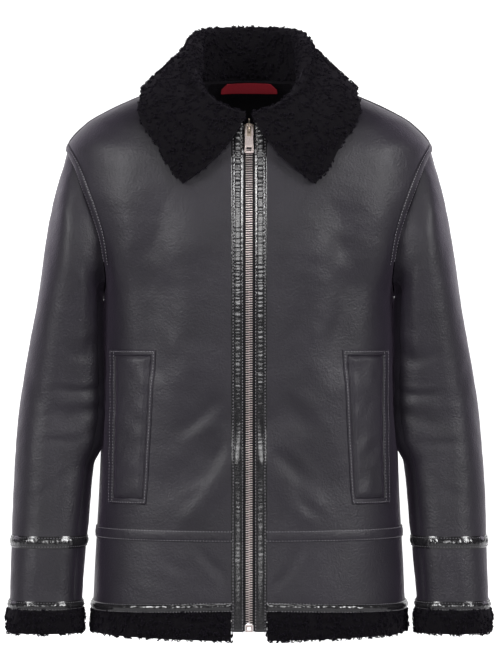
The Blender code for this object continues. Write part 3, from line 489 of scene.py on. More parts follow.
# Creases: start x z, bend x z, end x z, half width, depth in metres; plus is a trough, minus a ridge
frontCreases = {
    "right": (
        (-0.094, -0.216, -0.072, -0.186, -0.044, -0.172, 0.024, -0.0019),
        (-0.117, -0.110, -0.121, -0.210, -0.116, -0.325, 0.021, 0.0025),
        (-0.152, -0.120, -0.156, -0.190, -0.154, -0.262, 0.018, -0.0014),
        (-0.088, -0.232, -0.086, -0.300, -0.080, -0.372, 0.018, -0.0015),
        (-0.060, -0.235, -0.064, -0.290, -0.060, -0.350, 0.017, 0.0012),
        (-0.086, -0.424, -0.066, -0.388, -0.038, -0.366, 0.011, 0.0038),
        (-0.070, -0.437, -0.052, -0.412, -0.030, -0.403, 0.014, -0.0019),
        (-0.074, -0.476, -0.050, -0.446, -0.026, -0.432, 0.009, 0.0032),
        (-0.064, -0.508, -0.052, -0.484, -0.036, -0.470, 0.014, -0.0014),
        (-0.084, -0.518, -0.066, -0.492, -0.054, -0.474, 0.008, 0.0026),
        (-0.060, -0.546, -0.048, -0.574, -0.028, -0.604, 0.007, 0.0026),
        (-0.098, -0.552, -0.092, -0.570, -0.084, -0.586, 0.006, 0.0010),
        (-0.024, -0.095, -0.031, -0.118, -0.026, -0.140, 0.005, 0.0010),
    ),
    "left": (
        (0.092, -0.218, 0.074, -0.190, 0.046, -0.174, 0.024, -0.0019),
        (0.116, -0.112, 0.120, -0.215, 0.118, -0.318, 0.021, 0.0023),
        (0.153, -0.122, 0.157, -0.194, 0.152, -0.258, 0.018, -0.0014),
        (0.086, -0.236, 0.087, -0.306, 0.081, -0.380, 0.018, -0.0014),
        (0.061, -0.240, 0.063, -0.286, 0.062, -0.342, 0.017, 0.0011),
        (0.084, -0.426, 0.064, -0.392, 0.039, -0.370, 0.011, 0.0035),
        (0.072, -0.440, 0.054, -0.416, 0.031, -0.405, 0.014, -0.0019),
        (0.072, -0.478, 0.051, -0.450, 0.027, -0.434, 0.009, 0.0030),
        (0.066, -0.510, 0.051, -0.487, 0.038, -0.473, 0.014, -0.0013),
        (0.082, -0.516, 0.068, -0.494, 0.052, -0.477, 0.008, 0.0024),
        (0.058, -0.548, 0.046, -0.576, 0.029, -0.602, 0.007, 0.0024),
        (0.104, -0.556, 0.096, -0.572, 0.088, -0.590, 0.006, 0.0010),
        (0.025, -0.097, 0.030, -0.116, 0.027, -0.138, 0.005, 0.0010),
    ),
}
backCreases = (
    (-0.070, -0.130, -0.084, -0.220, -0.066, -0.330, 0.021, 0.0022),
    (0.074, -0.140, 0.082, -0.230, 0.070, -0.316, 0.020, 0.0019),
    (-0.010, -0.180, 0.006, -0.270, -0.004, -0.350, 0.018, -0.0015),
    (-0.130, -0.250, -0.090, -0.330, -0.030, -0.372, 0.018, 0.0022),
    (0.136, -0.262, 0.100, -0.330, 0.040, -0.384, 0.017, 0.0019),
    (-0.120, -0.330, -0.080, -0.392, -0.020, -0.424, 0.011, -0.0032),
    (0.118, -0.352, 0.074, -0.402, 0.020, -0.440, 0.017, 0.0017),
    (-0.100, -0.420, -0.060, -0.466, -0.010, -0.486, 0.009, 0.0029),
    (0.094, -0.446, 0.060, -0.480, 0.024, -0.500, 0.008, 0.0022),
    (-0.060, -0.550, -0.048, -0.580, -0.030, -0.604, 0.008, 0.0019),
    (0.070, -0.552, 0.054, -0.576, 0.044, -0.596, 0.007, 0.0018),
)
sleeveCreases = {
    "left": (
        (0.160, -0.262, 0.158, -0.330, 0.160, -0.400, 0.010, 0.0020),
        (0.160, -0.300, 0.120, -0.318, 0.088, -0.312, 0.008, 0.0019),
        (0.156, -0.352, 0.118, -0.376, 0.084, -0.372, 0.006, 0.0022),
        (0.150, -0.384, 0.112, -0.404, 0.070, -0.398, 0.007, 0.0019),
        (0.126, -0.418, 0.098, -0.430, 0.072, -0.424, 0.005, 0.0013),
        (0.028, -0.330, 0.044, -0.360, 0.060, -0.366, 0.008, 0.0016),
        (0.110, -0.470, 0.096, -0.490, 0.074, -0.494, 0.006, 0.0011),
        (-0.060, -0.330, -0.086, -0.352, -0.120, -0.346, 0.009, 0.0035),
        (-0.052, -0.372, -0.082, -0.392, -0.124, -0.388, 0.008, 0.0032),
        (-0.070, -0.424, -0.092, -0.436, -0.112, -0.430, 0.007, 0.0019),
        (0.100, -0.556, 0.090, -0.580, 0.096, -0.604, 0.007, 0.0010),
    ),
    "right": (
        (0.160, -0.258, 0.158, -0.334, 0.160, -0.404, 0.010, 0.0020),
        (0.158, -0.292, 0.124, -0.310, 0.092, -0.306, 0.008, 0.0018),
        (0.158, -0.346, 0.120, -0.368, 0.080, -0.366, 0.006, 0.0021),
        (0.148, -0.380, 0.116, -0.398, 0.076, -0.394, 0.007, 0.0021),
        (0.130, -0.412, 0.104, -0.424, 0.080, -0.420, 0.005, 0.0013),
        (0.024, -0.336, 0.042, -0.362, 0.062, -0.372, 0.008, 0.0016),
        (0.114, -0.462, 0.100, -0.482, 0.080, -0.488, 0.006, 0.0011),
        (-0.058, -0.322, -0.090, -0.346, -0.122, -0.340, 0.009, 0.0034),
        (-0.050, -0.366, -0.080, -0.386, -0.120, -0.384, 0.008, 0.0032),
        (-0.066, -0.416, -0.094, -0.430, -0.116, -0.426, 0.007, 0.0019),
        (0.094, -0.560, 0.088, -0.584, 0.092, -0.606, 0.007, 0.0010),
    ),
}


waistAt, neckAt, hemAt = level("waist"), level("neck"), level("hemEdge")


def steps(low, high, cell):
    return np.linspace(low, high, max(3, int(round((high - low) / cell)) + 1))


def bodyRowsFine(low, high):   # rows a cell apart, closer where the armhole turns
    turns = armhole(np.linspace(0, math.pi, 46), 0.0, False)[1]
    rows = np.sort(np.concatenate((steps(low, high, panelWork["cell"]), turns[(turns > low) & (turns < high)])))
    kept = [low]
    for t in rows[1:-1]:
        if t - kept[-1] > 0.0007 and high - t > 0.0007:
            kept.append(float(t))
    return np.array(kept + [high])


def sideEdge(t, back):   # where a panel ends: at the side seam, round the armhole, at the shoulder seam
    low, high = level("underarm"), level("tip")
    inside = (t > low) & (t < high)
    turn = np.arccos(np.clip(1 - 2 * (t - low) / (high - low), -1, 1))
    edge = np.where(inside, armhole(turn, 0.0, back)[0], math.pi / 2)
    pull = fit["seamGap"] / 2 / bodyRead["halfWidth"](t)
    return edge + pull if back else edge - pull


def bodyCrease(angle, t, side):
    place = bodyPlace(angle, t)
    up = place[..., 2]
    around = np.abs(np.degrees(angle))
    front = np.clip((112 - around) / 16, 0, 1)
    push = np.zeros(up.shape)
    if side != "back":
        push -= creased(frontCreases[side], place[..., 0], up, place, 5) * front
    push -= creased(backCreases, place[..., 0], up, place, 9) * (1 - front)
    slack = 0.0007 * wander(place * np.array((1.0, 1.0, 0.55)), 0.085, 21)
    fine = 0.00012 * wander(place, 0.018, 22)
    return push + slack + fine


def eased(share):
    share = np.clip(share, 0, 1)
    return share * share * (3 - 2 * share)


def edgeFade(angle, t):   # creases die away towards the seams, the zip and the sewn strips
    around = np.abs((angle + math.pi) % (2 * math.pi) - math.pi)
    back = around > math.pi / 2
    seam = np.where(back, sideEdge(t, True), sideEdge(t, False))
    aside = np.abs(seam - around) * bodyRead["halfWidth"](t)
    ends = np.minimum(np.minimum(np.abs(t - waistAt), neckAt - t), t - hemAt)
    middle = np.where(back, 1.0, eased((np.abs(bodyPlace(angle, t)[..., 0]) - 0.020) / 0.018))
    return (0.06 + 0.94 * eased(aside / 0.030)) * (0.12 + 0.88 * eased(ends / 0.026)) * middle


def dressed(angle, t):   # points and normals of the creased cloth, for what is sewn on it
    place, normal = bodyPlace(angle, t), bodyNormal(angle, t)
    around = np.abs((angle + math.pi) % (2 * math.pi) - math.pi)
    back = bodyCrease(angle, t, "back")
    ahead = np.where(place[..., 0] > 0, bodyCrease(angle, t, "left"), bodyCrease(angle, t, "right"))
    push = np.where(around > math.pi / 2, back, ahead) * edgeFade(angle, t)
    return place + normal * push[..., None], normal


def seamDip(aside, width):   # cloth pulled in beside a sewn edge
    return -panelWork["seamDip"] * np.exp(-(aside / width) ** 2)


def lined(place, normal, wall, seed):   # the inner side, uneven as wool is
    return place - normal * (wall + panelWork["lining"] * wander(place, 0.009, seed))[..., None]


def bodyPanel(name, side, low, high, nodes):
    t = bodyRowsFine(low, high)
    if side == "back":
        start = sideEdge(t, True)
        count = int(0.40 / panelWork["cell"])
        share = np.linspace(-1, 1, count)[None, :]
        lean = math.pi / 2 - (start - math.pi / 2)[:, None] * np.abs(share) ** 1.2
        angle = math.pi + share * lean
    else:
        start = angleOfX(fit["zipHalf"], t)
        side90 = math.pi / 2
        share = np.linspace(0, 1, int(0.225 / panelWork["cell"]))[None, :]
        angle = start[:, None] + (side90 - start)[:, None] * share
        angle = angle - (side90 - sideEdge(t, False))[:, None] * share ** 2.2
        angle = angle if side == "left" else -angle
    levels = np.broadcast_to(t[:, None], angle.shape)
    normal = bodyNormal(angle, levels)
    place = bodyPlace(angle, levels)
    push = bodyCrease(angle, levels, side) * edgeFade(angle, levels)
    outer = place + normal * push[..., None]
    inner = lined(outer, normal, panelWork["wall"], 31)
    piece = shell(name, outer, inner, (plainLeather, blackWool), rimLook=1)
    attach(piece, "jacket")
    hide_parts(*nodes)
    return piece


gapHalf = fit["seamGap"] / 2
bodyPanel("front_panel_left", "left", waistAt + gapHalf, neckAt, ["front_left"])
bodyPanel("front_panel_right", "right", waistAt + gapHalf, neckAt, ["front_right"])
bodyPanel("back_panel", "back", waistAt + gapHalf, neckAt, ["back"])
bodyPanel("band_panel_left", "left", hemAt, waistAt - gapHalf, ["band_left"])
bodyPanel("band_panel_right", "right", hemAt, waistAt - gapHalf, ["band_right"])
bodyPanel("band_panel_back", "back", hemAt, waistAt - gapHalf, ["band_back"])
print("body panels made")


def innerFold(place, normal):   # the soft fold of the sleeve's inner side, hanging just ahead of the body's side
    inward = -normal[..., 0]
    ahead = np.exp(-((place[..., 1] + panelWork["foldAhead"]) / 0.018) ** 2)
    tall = eased((panelWork["foldTop"] - place[..., 2]) / 0.035) * eased((place[..., 2] - panelWork["foldLow"]) / 0.035)
    reach = np.clip(place[..., 0] - panelWork["foldX"], 0, 0.012) / np.maximum(inward, 0.5)
    return reach * ahead * tall * eased((inward - 0.2) / 0.4)


def sleeveCrease(angle, s, side):
    place = sleevePlace(angle, s)
    across = ((angle + math.pi) % (2 * math.pi) - math.pi) * 0.055
    push = -creased(sleeveCreases[side], across, place[..., 2], place, 15)
    slack = 0.0008 * wander(place * np.array((1.0, 1.0, 0.6)) + (0.3 if side == "left" else 0.0), 0.07, 25)
    fine = 0.00014 * wander(place, 0.016, 26)
    return push + slack + fine + innerFold(place, sleeveNormal(angle, s))


def sleevePanel(name, side, first, last, low, high, nodes, ring=False):
    sign = 1 if side == "left" else -1
    run = float(tubeRun(high) - tubeRun(low))
    knots = np.linspace(low, high, 400)
    distance = tubeRun(knots)
    s = np.interp(np.linspace(distance[0], distance[-1], int(run / panelWork["cell"]) + 2), distance, knots)
    count = max(8, int(abs(last - first) * 0.058 / panelWork["cell"]))
    around = np.linspace(first, last, count + 1)
    angle, levels = np.meshgrid(around, s)
    place = sleevePlace(angle, levels)
    normal = sleeveNormal(angle, levels)
    push = sleeveCrease(angle, levels, side)
    edge = np.minimum(tubeRun(levels) - tubeRun(low), tubeRun(high) - tubeRun(levels))
    push = push * np.clip(edge / 0.02, 0.0 if low == 0 else 0.2, 1)
    seams = np.minimum(np.abs(angle - first), np.abs(angle - last)) * 0.055
    push = push + seamDip(seams, 0.004) * np.clip(edge / 0.02, 0, 1)
    outer = place + normal * push[..., None]
    if low == 0:
        wrapped = (angle[0] + math.pi) % (2 * math.pi) - math.pi
        normal = normal.copy()
        high0 = np.clip(1.5 - np.abs(wrapped) / math.pi * 2.2, 0, 1)[..., None]
        turn = math.pi - np.abs(wrapped)
        bodyOut = np.where((wrapped >= 0)[..., None], bodyNormal(*armhole(turn, 0.0, False)),
                           bodyNormal(*armhole(turn, 0.0, True)))
        normal[0] = unit(bodyOut * high0 + normal[0] * (1 - high0))
    inner = lined(outer, normal, panelWork["wall"], 33)
    flip = np.array((sign, 1.0, 1.0))
    piece = shell(name, outer * flip, inner * flip, (plainLeather, blackWool), rimLook=1)
    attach(piece, "jacket")
    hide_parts(*nodes)
    return piece


frontSeam, backSeam = math.radians(fit["sleeveFrontSeam"]), math.radians(fit["sleeveBackSeam"])
pullHalf = fit["seamGap"] / 2 / 0.045
seamHigh = fit["cuffHigh"][0] + 0.7
stationGap = fit["seamGap"] / 2 / float(tubeRun(10.0) - tubeRun(9.0))
for side in ("left", "right"):
    sleevePanel("sleeve_top_" + side, side, frontSeam - pullHalf, backSeam + pullHalf, 0.0, seamHigh - stationGap,
                ["sleeve_upper_" + side])
    sleevePanel("sleeve_low_" + side, side, backSeam - pullHalf, frontSeam - 2 * math.pi + pullHalf,
                0.0, seamHigh - stationGap, ["sleeve_under_" + side])
    sleevePanel("cuff_leather_" + side, side, frontSeam - pullHalf, frontSeam - 2 * math.pi + pullHalf,
                seamHigh + stationGap, float(fit["cuffLow"][1]), ["cuff_panel_" + side])
print("sleeves made")


# Sewn strips: glazed tapes with puckers between their stitch rows

stitchPaths = {"grey": [], "dark": []}   # polylines of points and normals for the sewing

tapeWork = {"along": 0.0018, "fine": 0.0014, "wall": 0.0009, "edge": 0.30, "stitchDip": 0.00045,
            "stitchWide": 0.0009, "lift": 0.0004, "threadOut": 0.00025}


def puckers(run, share, width, style):
    # Small ridges across a tape, uneven in place, lean and height
    dice = np.random.default_rng(style["seed"])
    total = np.zeros((len(run), len(share)))
    where = float(run[0])
    low, high = style.get("band", (0.12, 0.88))
    envelope = np.sin(math.pi * np.clip((share - low) / (high - low), 0, 1)) ** 0.8
    pitch = style["pitch"]
    while where < run[-1]:
        where += pitch * dice.uniform(0.55, 1.5)
        tall = style["height"] * dice.uniform(0.25, 1.0) * (1 if dice.random() > 0.12 else 1.6)
        wide = pitch * dice.uniform(0.26, 0.42)
        lean = style["slant"] * dice.uniform(-1.0, 1.0) * width
        bow = dice.uniform(-0.4, 0.4) * width
        middle = where + lean * (share - 0.5) + bow * (share - 0.5) ** 2
        near = np.abs(run - where) < 4 * pitch
        total[near] += tall * np.exp(-((run[near][:, None] - middle) / wide) ** 2)
    return total * envelope[None, :]


def pinches(run, share, width, style):
    # Rounded puffs nipped by short creases, deep at the top of the zip and finer down it
    dice = np.random.default_rng(style["seed"])
    low, high = style["band"]
    envelope = np.sin(math.pi * np.clip((share - low) / (high - low), 0, 1)) ** 0.30
    nip = np.zeros((len(run), len(share)))
    where = float(run[0])
    while where < run[-1]:
        up = (where - run[0]) / (run[-1] - run[0])
        pitch = style["pitch"] * (0.55 + 0.45 * up) * dice.uniform(0.55, 1.45)
        where += pitch
        deep = (0.12 + 0.66 * up ** 1.5) * dice.uniform(0.35, 1.0)
        wide = 0.0007 + 0.0005 * dice.random()
        middle = where + style["slant"] * dice.uniform(-1, 1) * width * (share - 0.5) ** 2
        middle = middle + 0.25 * style["slant"] * dice.uniform(-1, 1) * width * (share - 0.5)
        near = np.abs(run - where) < 0.006
        nip[near] = np.maximum(nip[near], deep * np.exp(-((run[near][:, None] - middle) / wide) ** 2))
    return style["height"] * envelope[None, :] * (1.0 - nip)


def softTape(name, place, normal, nodes, rows, style, look=None, closed=False):
    # place and normal run along the first axis and across on the second
    middle = place[:, place.shape[1] // 2]
    run = np.concatenate(([0.0], np.cumsum(np.linalg.norm(np.diff(middle, axis=0), axis=1))))
    width = float(np.mean(np.linalg.norm(np.diff(place, axis=1), axis=2).sum(axis=1)))
    share = np.linspace(0, 1, place.shape[1])
    edge = np.minimum(share, 1 - share) * width
    crown = style["puff"] * np.clip(np.sin(math.pi * share), 0, 1) ** 0.7
    body = style.get("wall", tapeWork["wall"]) * (tapeWork["edge"] + (1 - tapeWork["edge"]) * np.clip(edge / 0.0011, 0, 1) ** 0.5)
    height = np.broadcast_to(body + crown, place.shape[:2]).copy()
    height += style.get("relief", puckers)(run, share, width, style)
    for row in rows:
        height -= tapeWork["stitchDip"] * np.exp(-(((share - row) * width) / tapeWork["stitchWide"]) ** 2)
    ends = np.minimum(run, run[-1] - run)
    if not closed:
        height = height * (0.45 + 0.55 * np.clip(ends / 0.0012, 0, 1))[:, None]
    lift = tapeWork["lift"]
    outer = place + normal * (lift + height)[..., None]
    inner = place + normal * lift
    piece = shell(name, outer, inner, (look or glazedLeather,), ring=False)
    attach(piece, "jacket")
    if nodes:
        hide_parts(*nodes)
    for row in rows:
        k = int(round(row * (place.shape[1] - 1)))
        sewn = outer[:, k] + normal[:, k] * tapeWork["threadOut"]
        stitchPaths[style.get("thread", "dark")].append((sewn, normal[:, k], closed))
    return piece


def bodyLine(angle, t):
    return bodyPlace(angle, t), bodyNormal(angle, t)


bottomAt = float(levelOfHeight(fit["facingBottom"] + 0.002, 0.0))
facingStyle = {"puff": 0.0, "pitch": 0.0052, "height": 0.0011, "slant": 0.5, "seed": 3, "relief": pinches,
               "band": (0.12, 0.84), "thread": "grey"}
for side, sign in (("left", 1), ("right", -1)):
    t = steps(bottomAt, neckAt - fit["facingTop"], tapeWork["fine"])
    inside, outside = angleOfX(fit["zipHalf"], t), angleOfX(fit["facingEdge"], t)
    share = np.linspace(0, 1, 15)[None, :]
    angle = sign * (inside[:, None] + (outside - inside)[:, None] * share)
    place, normal = bodyLine(angle, np.broadcast_to(t[:, None], angle.shape))
    softTape("zip_border_" + side, place, normal, ["zip_facing_" + side], (0.10, 0.86),
             dict(facingStyle, seed=3 if sign > 0 else 4))

hemStyle = {"puff": 0.0016, "pitch": 0.0090, "height": 0.0014, "slant": 0.5, "seed": 11, "thread": "grey"}
waistStyle = {"puff": 0.0003, "pitch": 0.0090, "height": 0.0006, "slant": 0.6, "seed": 17, "thread": "grey"}
for name, node, low, high, style, look in (
        ("waist_band_", "waist_tape_", waistAt - fit["waistTape"] / 2, waistAt + fit["waistTape"] / 2,
         waistStyle, plainLeather),
        ("hem_band_", "hem_tape_", hemAt, level("hemTape"), hemStyle, glazedLeather)):
    for side, sign in (("left", 1), ("right", -1), ("back", 1)):
        t = np.linspace(low, high, 12)
        if side == "back":
            ends = sideEdge(t, True)
            share = np.linspace(-1, 1, int(0.38 / tapeWork["along"]))[:, None]
            angle = math.pi + share * (math.pi - ends)[None, :]
        else:
            start = angleOfX(fit["facingEdge"] + 0.0004, t)
            stop = sideEdge(t, False)
            share = np.linspace(0, 1, int(0.20 / tapeWork["along"]))[:, None]
            angle = sign * (start[None, :] + (stop - start)[None, :] * share)
        place, normal = dressed(angle, np.broadcast_to(t[None, :], angle.shape))
        softTape(name + side, place, normal, [node + side], (0.10, 0.90),
                 dict(style, seed=style["seed"] + len(side)), look=look)

armStyle = {"puff": 0.0003, "pitch": 0.0080, "height": 0.0003, "slant": 0.4, "seed": 23, "wall": 0.0008,
            "thread": "grey"}
turns = np.concatenate((np.linspace(armTurns[3], math.pi, 150), np.linspace(math.pi, armTurns[3], 150)[1:]))
onBack = np.concatenate((np.zeros(150, bool), np.ones(149, bool)))
for side, sign in (("left", 1), ("right", -1)):
    grow = np.linspace(fit["seamGap"] / 2 + 0.0002, fit["armTape"], 11)
    angle = np.zeros((len(turns), len(grow)))
    levels = np.zeros_like(angle)
    for k, g in enumerate(grow):
        front, back = armhole(turns, g, False), armhole(turns, g, True)
        angle[:, k] = np.where(onBack, back[0], front[0])
        levels[:, k] = front[1]
    place, normal = dressed(sign * angle, levels)
    softTape("armhole_strip_" + side, place, normal, ["armhole_tape_" + side], (0.14, 0.86),
             dict(armStyle, seed=23 if sign > 0 else 24), look=plainLeather)

cuffStyle = {"puff": 0.0006, "pitch": 0.0046, "height": 0.0009, "slant": 0.35, "seed": 41}
around = np.linspace(0, 2 * math.pi, 270)
for side, sign in (("left", 1), ("right", -1)):
    for name, node, (low, high), shift in (("cuff_strip_high_", "cuff_tape_high_", fit["cuffHigh"], 0),
                                           ("cuff_strip_low_", "cuff_tape_low_", fit["cuffLow"], 5)):
        s = np.linspace(low, high, 11)
        angle, levels = np.meshgrid(around, s, indexing="ij")
        flip = np.array((sign, 1.0, 1.0))
        place, normal = sleevePlace(angle, levels) * flip, sleeveNormal(angle, levels) * flip
        softTape(name + side, place, normal, [node + side], (0.12, 0.88),
                 dict(cuffStyle, seed=41 + shift + sign), closed=True)

shoulderStyle = {"puff": 0.0004, "pitch": 0.0120, "height": 0.0003, "slant": 0.3, "seed": 51}
for side, sign in (("left", 1), ("right", -1)):
    t = steps(level("tip") + fit["armTape"] + 0.0006, neckAt - 0.020, tapeWork["along"])
    half = fit["shoulderTape"] / bodyRead["halfWidth"](t)
    angle = sign * (math.pi / 2 + half[:, None] * np.linspace(-1, 1, 11)[None, :])
    place, normal = dressed(angle, np.broadcast_to(t[:, None], angle.shape))
    softTape("shoulder_strip_" + side, place, normal, ["shoulder_tape_" + side], (0.14, 0.86),
             dict(shoulderStyle, seed=51 + sign), look=plainLeather)
print("tapes made")


# Pockets: a raised border sewn on all round and the padded welt inside it

pocketWork = {"top": -0.3120, "bottom": -0.5000, "frontAngles": (50.0, 47.0), "sideAngles": (68.5, 70.5),
              "frontBand": 0.0050, "sideBand": 0.0110, "ends": 0.0070, "wall": 0.0017, "puff": 0.0026}


def pocketGrid(sign, cols, rows):   # cols and rows are shares of the pocket's width and height
    low, high = levelOfHeight(pocketWork["bottom"]), levelOfHeight(pocketWork["top"])
    t = low + (high - low) * rows
    start = np.radians(pocketWork["frontAngles"][0] + np.diff(pocketWork["frontAngles"])[0] * rows)
    stop = np.radians(pocketWork["sideAngles"][0] + np.diff(pocketWork["sideAngles"])[0] * rows)
    angle = start[:, None] + (stop - start)[:, None] * cols[None, :]
    return dressed(sign * angle, np.broadcast_to(t[:, None], angle.shape))


def pocket(side, sign):
    place, normal = pocketGrid(sign, np.array((0.0, 1.0)), np.array((0.0, 1.0)))
    wide = float(np.linalg.norm(place[0, 1] - place[0, 0]))
    high = pocketWork["top"] - pocketWork["bottom"]
    gap = fit["seamGap"]
    marks = (0.0, pocketWork["frontBand"] / wide, 1 - pocketWork["sideBand"] / wide, 1.0)
    ends = (0.0, pocketWork["ends"] / high, 1 - pocketWork["ends"] / high, 1.0)
    cols = np.concatenate((np.linspace(marks[0], marks[1], 7), np.linspace(marks[1], marks[2], 21)[1:-1],
                           np.linspace(marks[2], marks[3], 12)))
    rows = np.concatenate((np.linspace(ends[0], ends[1], 8), np.linspace(ends[1], ends[2], 130)[1:-1],
                           np.linspace(ends[2], ends[3], 8)))
    place, normal = pocketGrid(sign, cols, rows)
    x, z = cols * wide, rows * high
    outside = np.minimum(np.minimum(x, wide - x)[None, :], np.minimum(z, high - z)[:, None])
    insideX = np.maximum(marks[1] * wide - x, x - marks[2] * wide)[None, :]
    insideZ = np.maximum(ends[1] * high - z, z - ends[2] * high)[:, None]
    inner = np.maximum(insideX, insideZ)
    round0 = np.clip(np.minimum(outside, np.maximum(inner, 0)) / 0.0013, 0, 1) ** 0.5
    height = pocketWork["wall"] * (0.4 + 0.6 * round0) + 0.0004 * np.clip(wander(place, 0.03, 61), -1, 1) * round0
    middleBand = np.exp(-((x - (wide - 0.0048)) / 0.0030) ** 2)[None, :]
    height = height + 0.0005 * middleBand * (inner > 0)
    keep = ~((cols[:-1] >= marks[1] - 1e-9) & (cols[1:] <= marks[2] + 1e-9))[None, :] | \
        ~((rows[:-1] >= ends[1] - 1e-9) & (rows[1:] <= ends[2] + 1e-9))[:, None]
    top = place + normal * (fit["layGap"] + height)[..., None]
    border = shell("pocket_border_" + side, top, place + normal * fit["layGap"], (plainLeather,), keep=keep)
    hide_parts("pocket_frame_" + side)
    for k in (int(np.argmin(np.abs(x - v))) for v in (0.0016, wide - 0.0016, wide - 0.0088)):
        sewn = top[4:-4, k] + normal[4:-4, k] * tapeWork["threadOut"]
        stitchPaths["grey"].append((sewn, normal[4:-4, k], False))
    for k in (int(np.argmin(np.abs(z - v))) for v in (0.0016, high - 0.0016)):
        sewn = top[k, 3:-3] + normal[k, 3:-3] * tapeWork["threadOut"]
        stitchPaths["grey"].append((sewn, normal[k, 3:-3], False))
    cols = np.linspace(marks[1] + gap / wide, marks[2] - gap / wide, 26)
    rows = np.linspace(ends[1] + gap / high, ends[2] - gap / high, 120)
    place, normal = pocketGrid(sign, cols, rows)
    x, z = (cols - cols[0]) * wide, (rows - rows[0]) * high
    rim = np.minimum(np.minimum(x, x[-1] - x)[None, :], np.minimum(z, z[-1] - z)[:, None])
    swell = np.clip(rim / 0.0065, 0, 1)
    height = 0.0003 + pocketWork["puff"] * np.sin(swell * math.pi / 2)
    height = height + 0.00035 * wander(place, 0.022, 63) * swell
    welt = shell("pocket_flap_" + side, place + normal * (fit["layGap"] + height)[..., None],
                 place + normal * fit["layGap"], (plainLeather,))
    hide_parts("pocket_welt_" + side)
    cut = (round(wide, 4), round(high, 4))
    hole = (round(float(x[-1]), 4), round(float(z[-1]), 4))
    for piece, flat, area in ((border, cut, cut[0] * cut[1] - hole[0] * hole[1]), (welt, hole, None)):
        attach(piece, "jacket")


for side, sign in (("left", 1), ("right", -1)):
    pocket(side, sign)
print("pockets made")


# Zip: woven tape, two rows of metal teeth, the bottom box, the slider and its pull

zipWork = {"pitch": 0.00285, "reach": 0.0041, "toothWide": 0.0011, "toothDeep": 0.0022,
           "tapeHalf": 0.0064, "tapeFoot": 0.0090, "boxHalf": 0.0046, "sliderAt": -0.0455}
boxBottom = -0.6530
boxTop = boxBottom + 0.0085


def metalLook(name, colour, rough):
    look = newLook(name, colour, rough, {"Metallic": 1.0})
    tree, nodes, links, shader = nodesOf(look)
    place = nodes.new("ShaderNodeTexCoord").outputs["Object"]
    rub = addNode(nodes, "ShaderNodeTexNoise", Scale=420.0, Detail=3.0, Roughness=0.6)
    scratch = addNode(nodes, "ShaderNodeTexNoise", Scale=2600.0, Detail=1.0)
    for node in (rub, scratch):
        links.new(place, node.inputs["Vector"])
    worn = tuple(v * 0.72 for v in colour)
    links.new(ramp(nodes, links, rub.outputs["Fac"], ((0.3, worn), (0.6, colour))), shader.inputs["Base Color"])
    links.new(ramp(nodes, links, rub.outputs["Fac"], ((0.3, rough + 0.14), (0.7, rough - 0.05))),
              shader.inputs["Roughness"])
    addBumps(look, ((scratch.outputs["Fac"], 0.12, 0.0001),))
    return look


def wovenLook(name, dark, light, count, rough=0.85):   # fine weave on Object coordinates
    look = newLook(name, light, rough, {"Specular IOR Level": 0.3})
    tree, nodes, links, shader = nodesOf(look)
    place = nodes.new("ShaderNodeTexCoord").outputs["Object"]
    warp = addNode(nodes, "ShaderNodeTexWave", {"bands_direction": "X"}, Scale=count, Distortion=0.6)
    weft = addNode(nodes, "ShaderNodeTexWave", {"bands_direction": "Z"}, Scale=count * 1.15, Distortion=0.6)
    mix = nodes.new("ShaderNodeMath")
    mix.operation = "MULTIPLY"
    for node, slotAt in ((warp, 0), (weft, 1)):
        links.new(place, node.inputs["Vector"])
        links.new(node.outputs["Fac"], mix.inputs[slotAt])
    links.new(ramp(nodes, links, mix.outputs[0], ((0.1, dark), (0.8, light))), shader.inputs["Base Color"])
    addBumps(look, ((mix.outputs[0], 0.5, 0.0003),))
    return look


zipMetal = metalLook("zip_silver", (0.62, 0.53, 0.51), 0.34)
sliderMetal = metalLook("zip_nickel", (0.46, 0.38, 0.31), 0.30)
zipCloth = wovenLook("zip_weave", (0.006, 0.006, 0.007), (0.022, 0.021, 0.024), 260.0)


def zipPath(low, high, count, out):   # points and outward normals up the middle of the front
    t = np.linspace(float(levelOfHeight(low, 0.0)), float(levelOfHeight(high, 0.0)), count)
    place, normal = bodyLine(np.zeros(count), t)
    return place + normal * out, normal


def zipTape():
    t = steps(float(levelOfHeight(boxBottom + 0.0006, 0.0)), float(levelOfHeight(zipWork["sliderAt"] + 0.002, 0.0)),
              0.0028)
    besideBox = t < float(levelOfHeight(boxTop, 0.0))
    for side, sign in (("left", 1), ("right", -1)):
        low, high = angleOfX(0.0002, t), angleOfX(zipWork["tapeHalf"], t)
        low = np.where(besideBox, angleOfX(zipWork["boxHalf"] + 0.0003, t), low)
        high = np.where(t < hemAt - 0.001, angleOfX(zipWork["tapeFoot"], t), high)
        angle = sign * (low[:, None] + (high - low)[:, None] * np.linspace(0, 1, 7)[None, :])
        place, normal = bodyLine(angle, np.broadcast_to(t[:, None], angle.shape))
        outer = place - normal * 0.0008
        piece = shell("zip_tape_" + side, outer, outer - normal * 0.0007, (zipCloth,))
        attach(piece, "jacket")
        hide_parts("zip_chain")


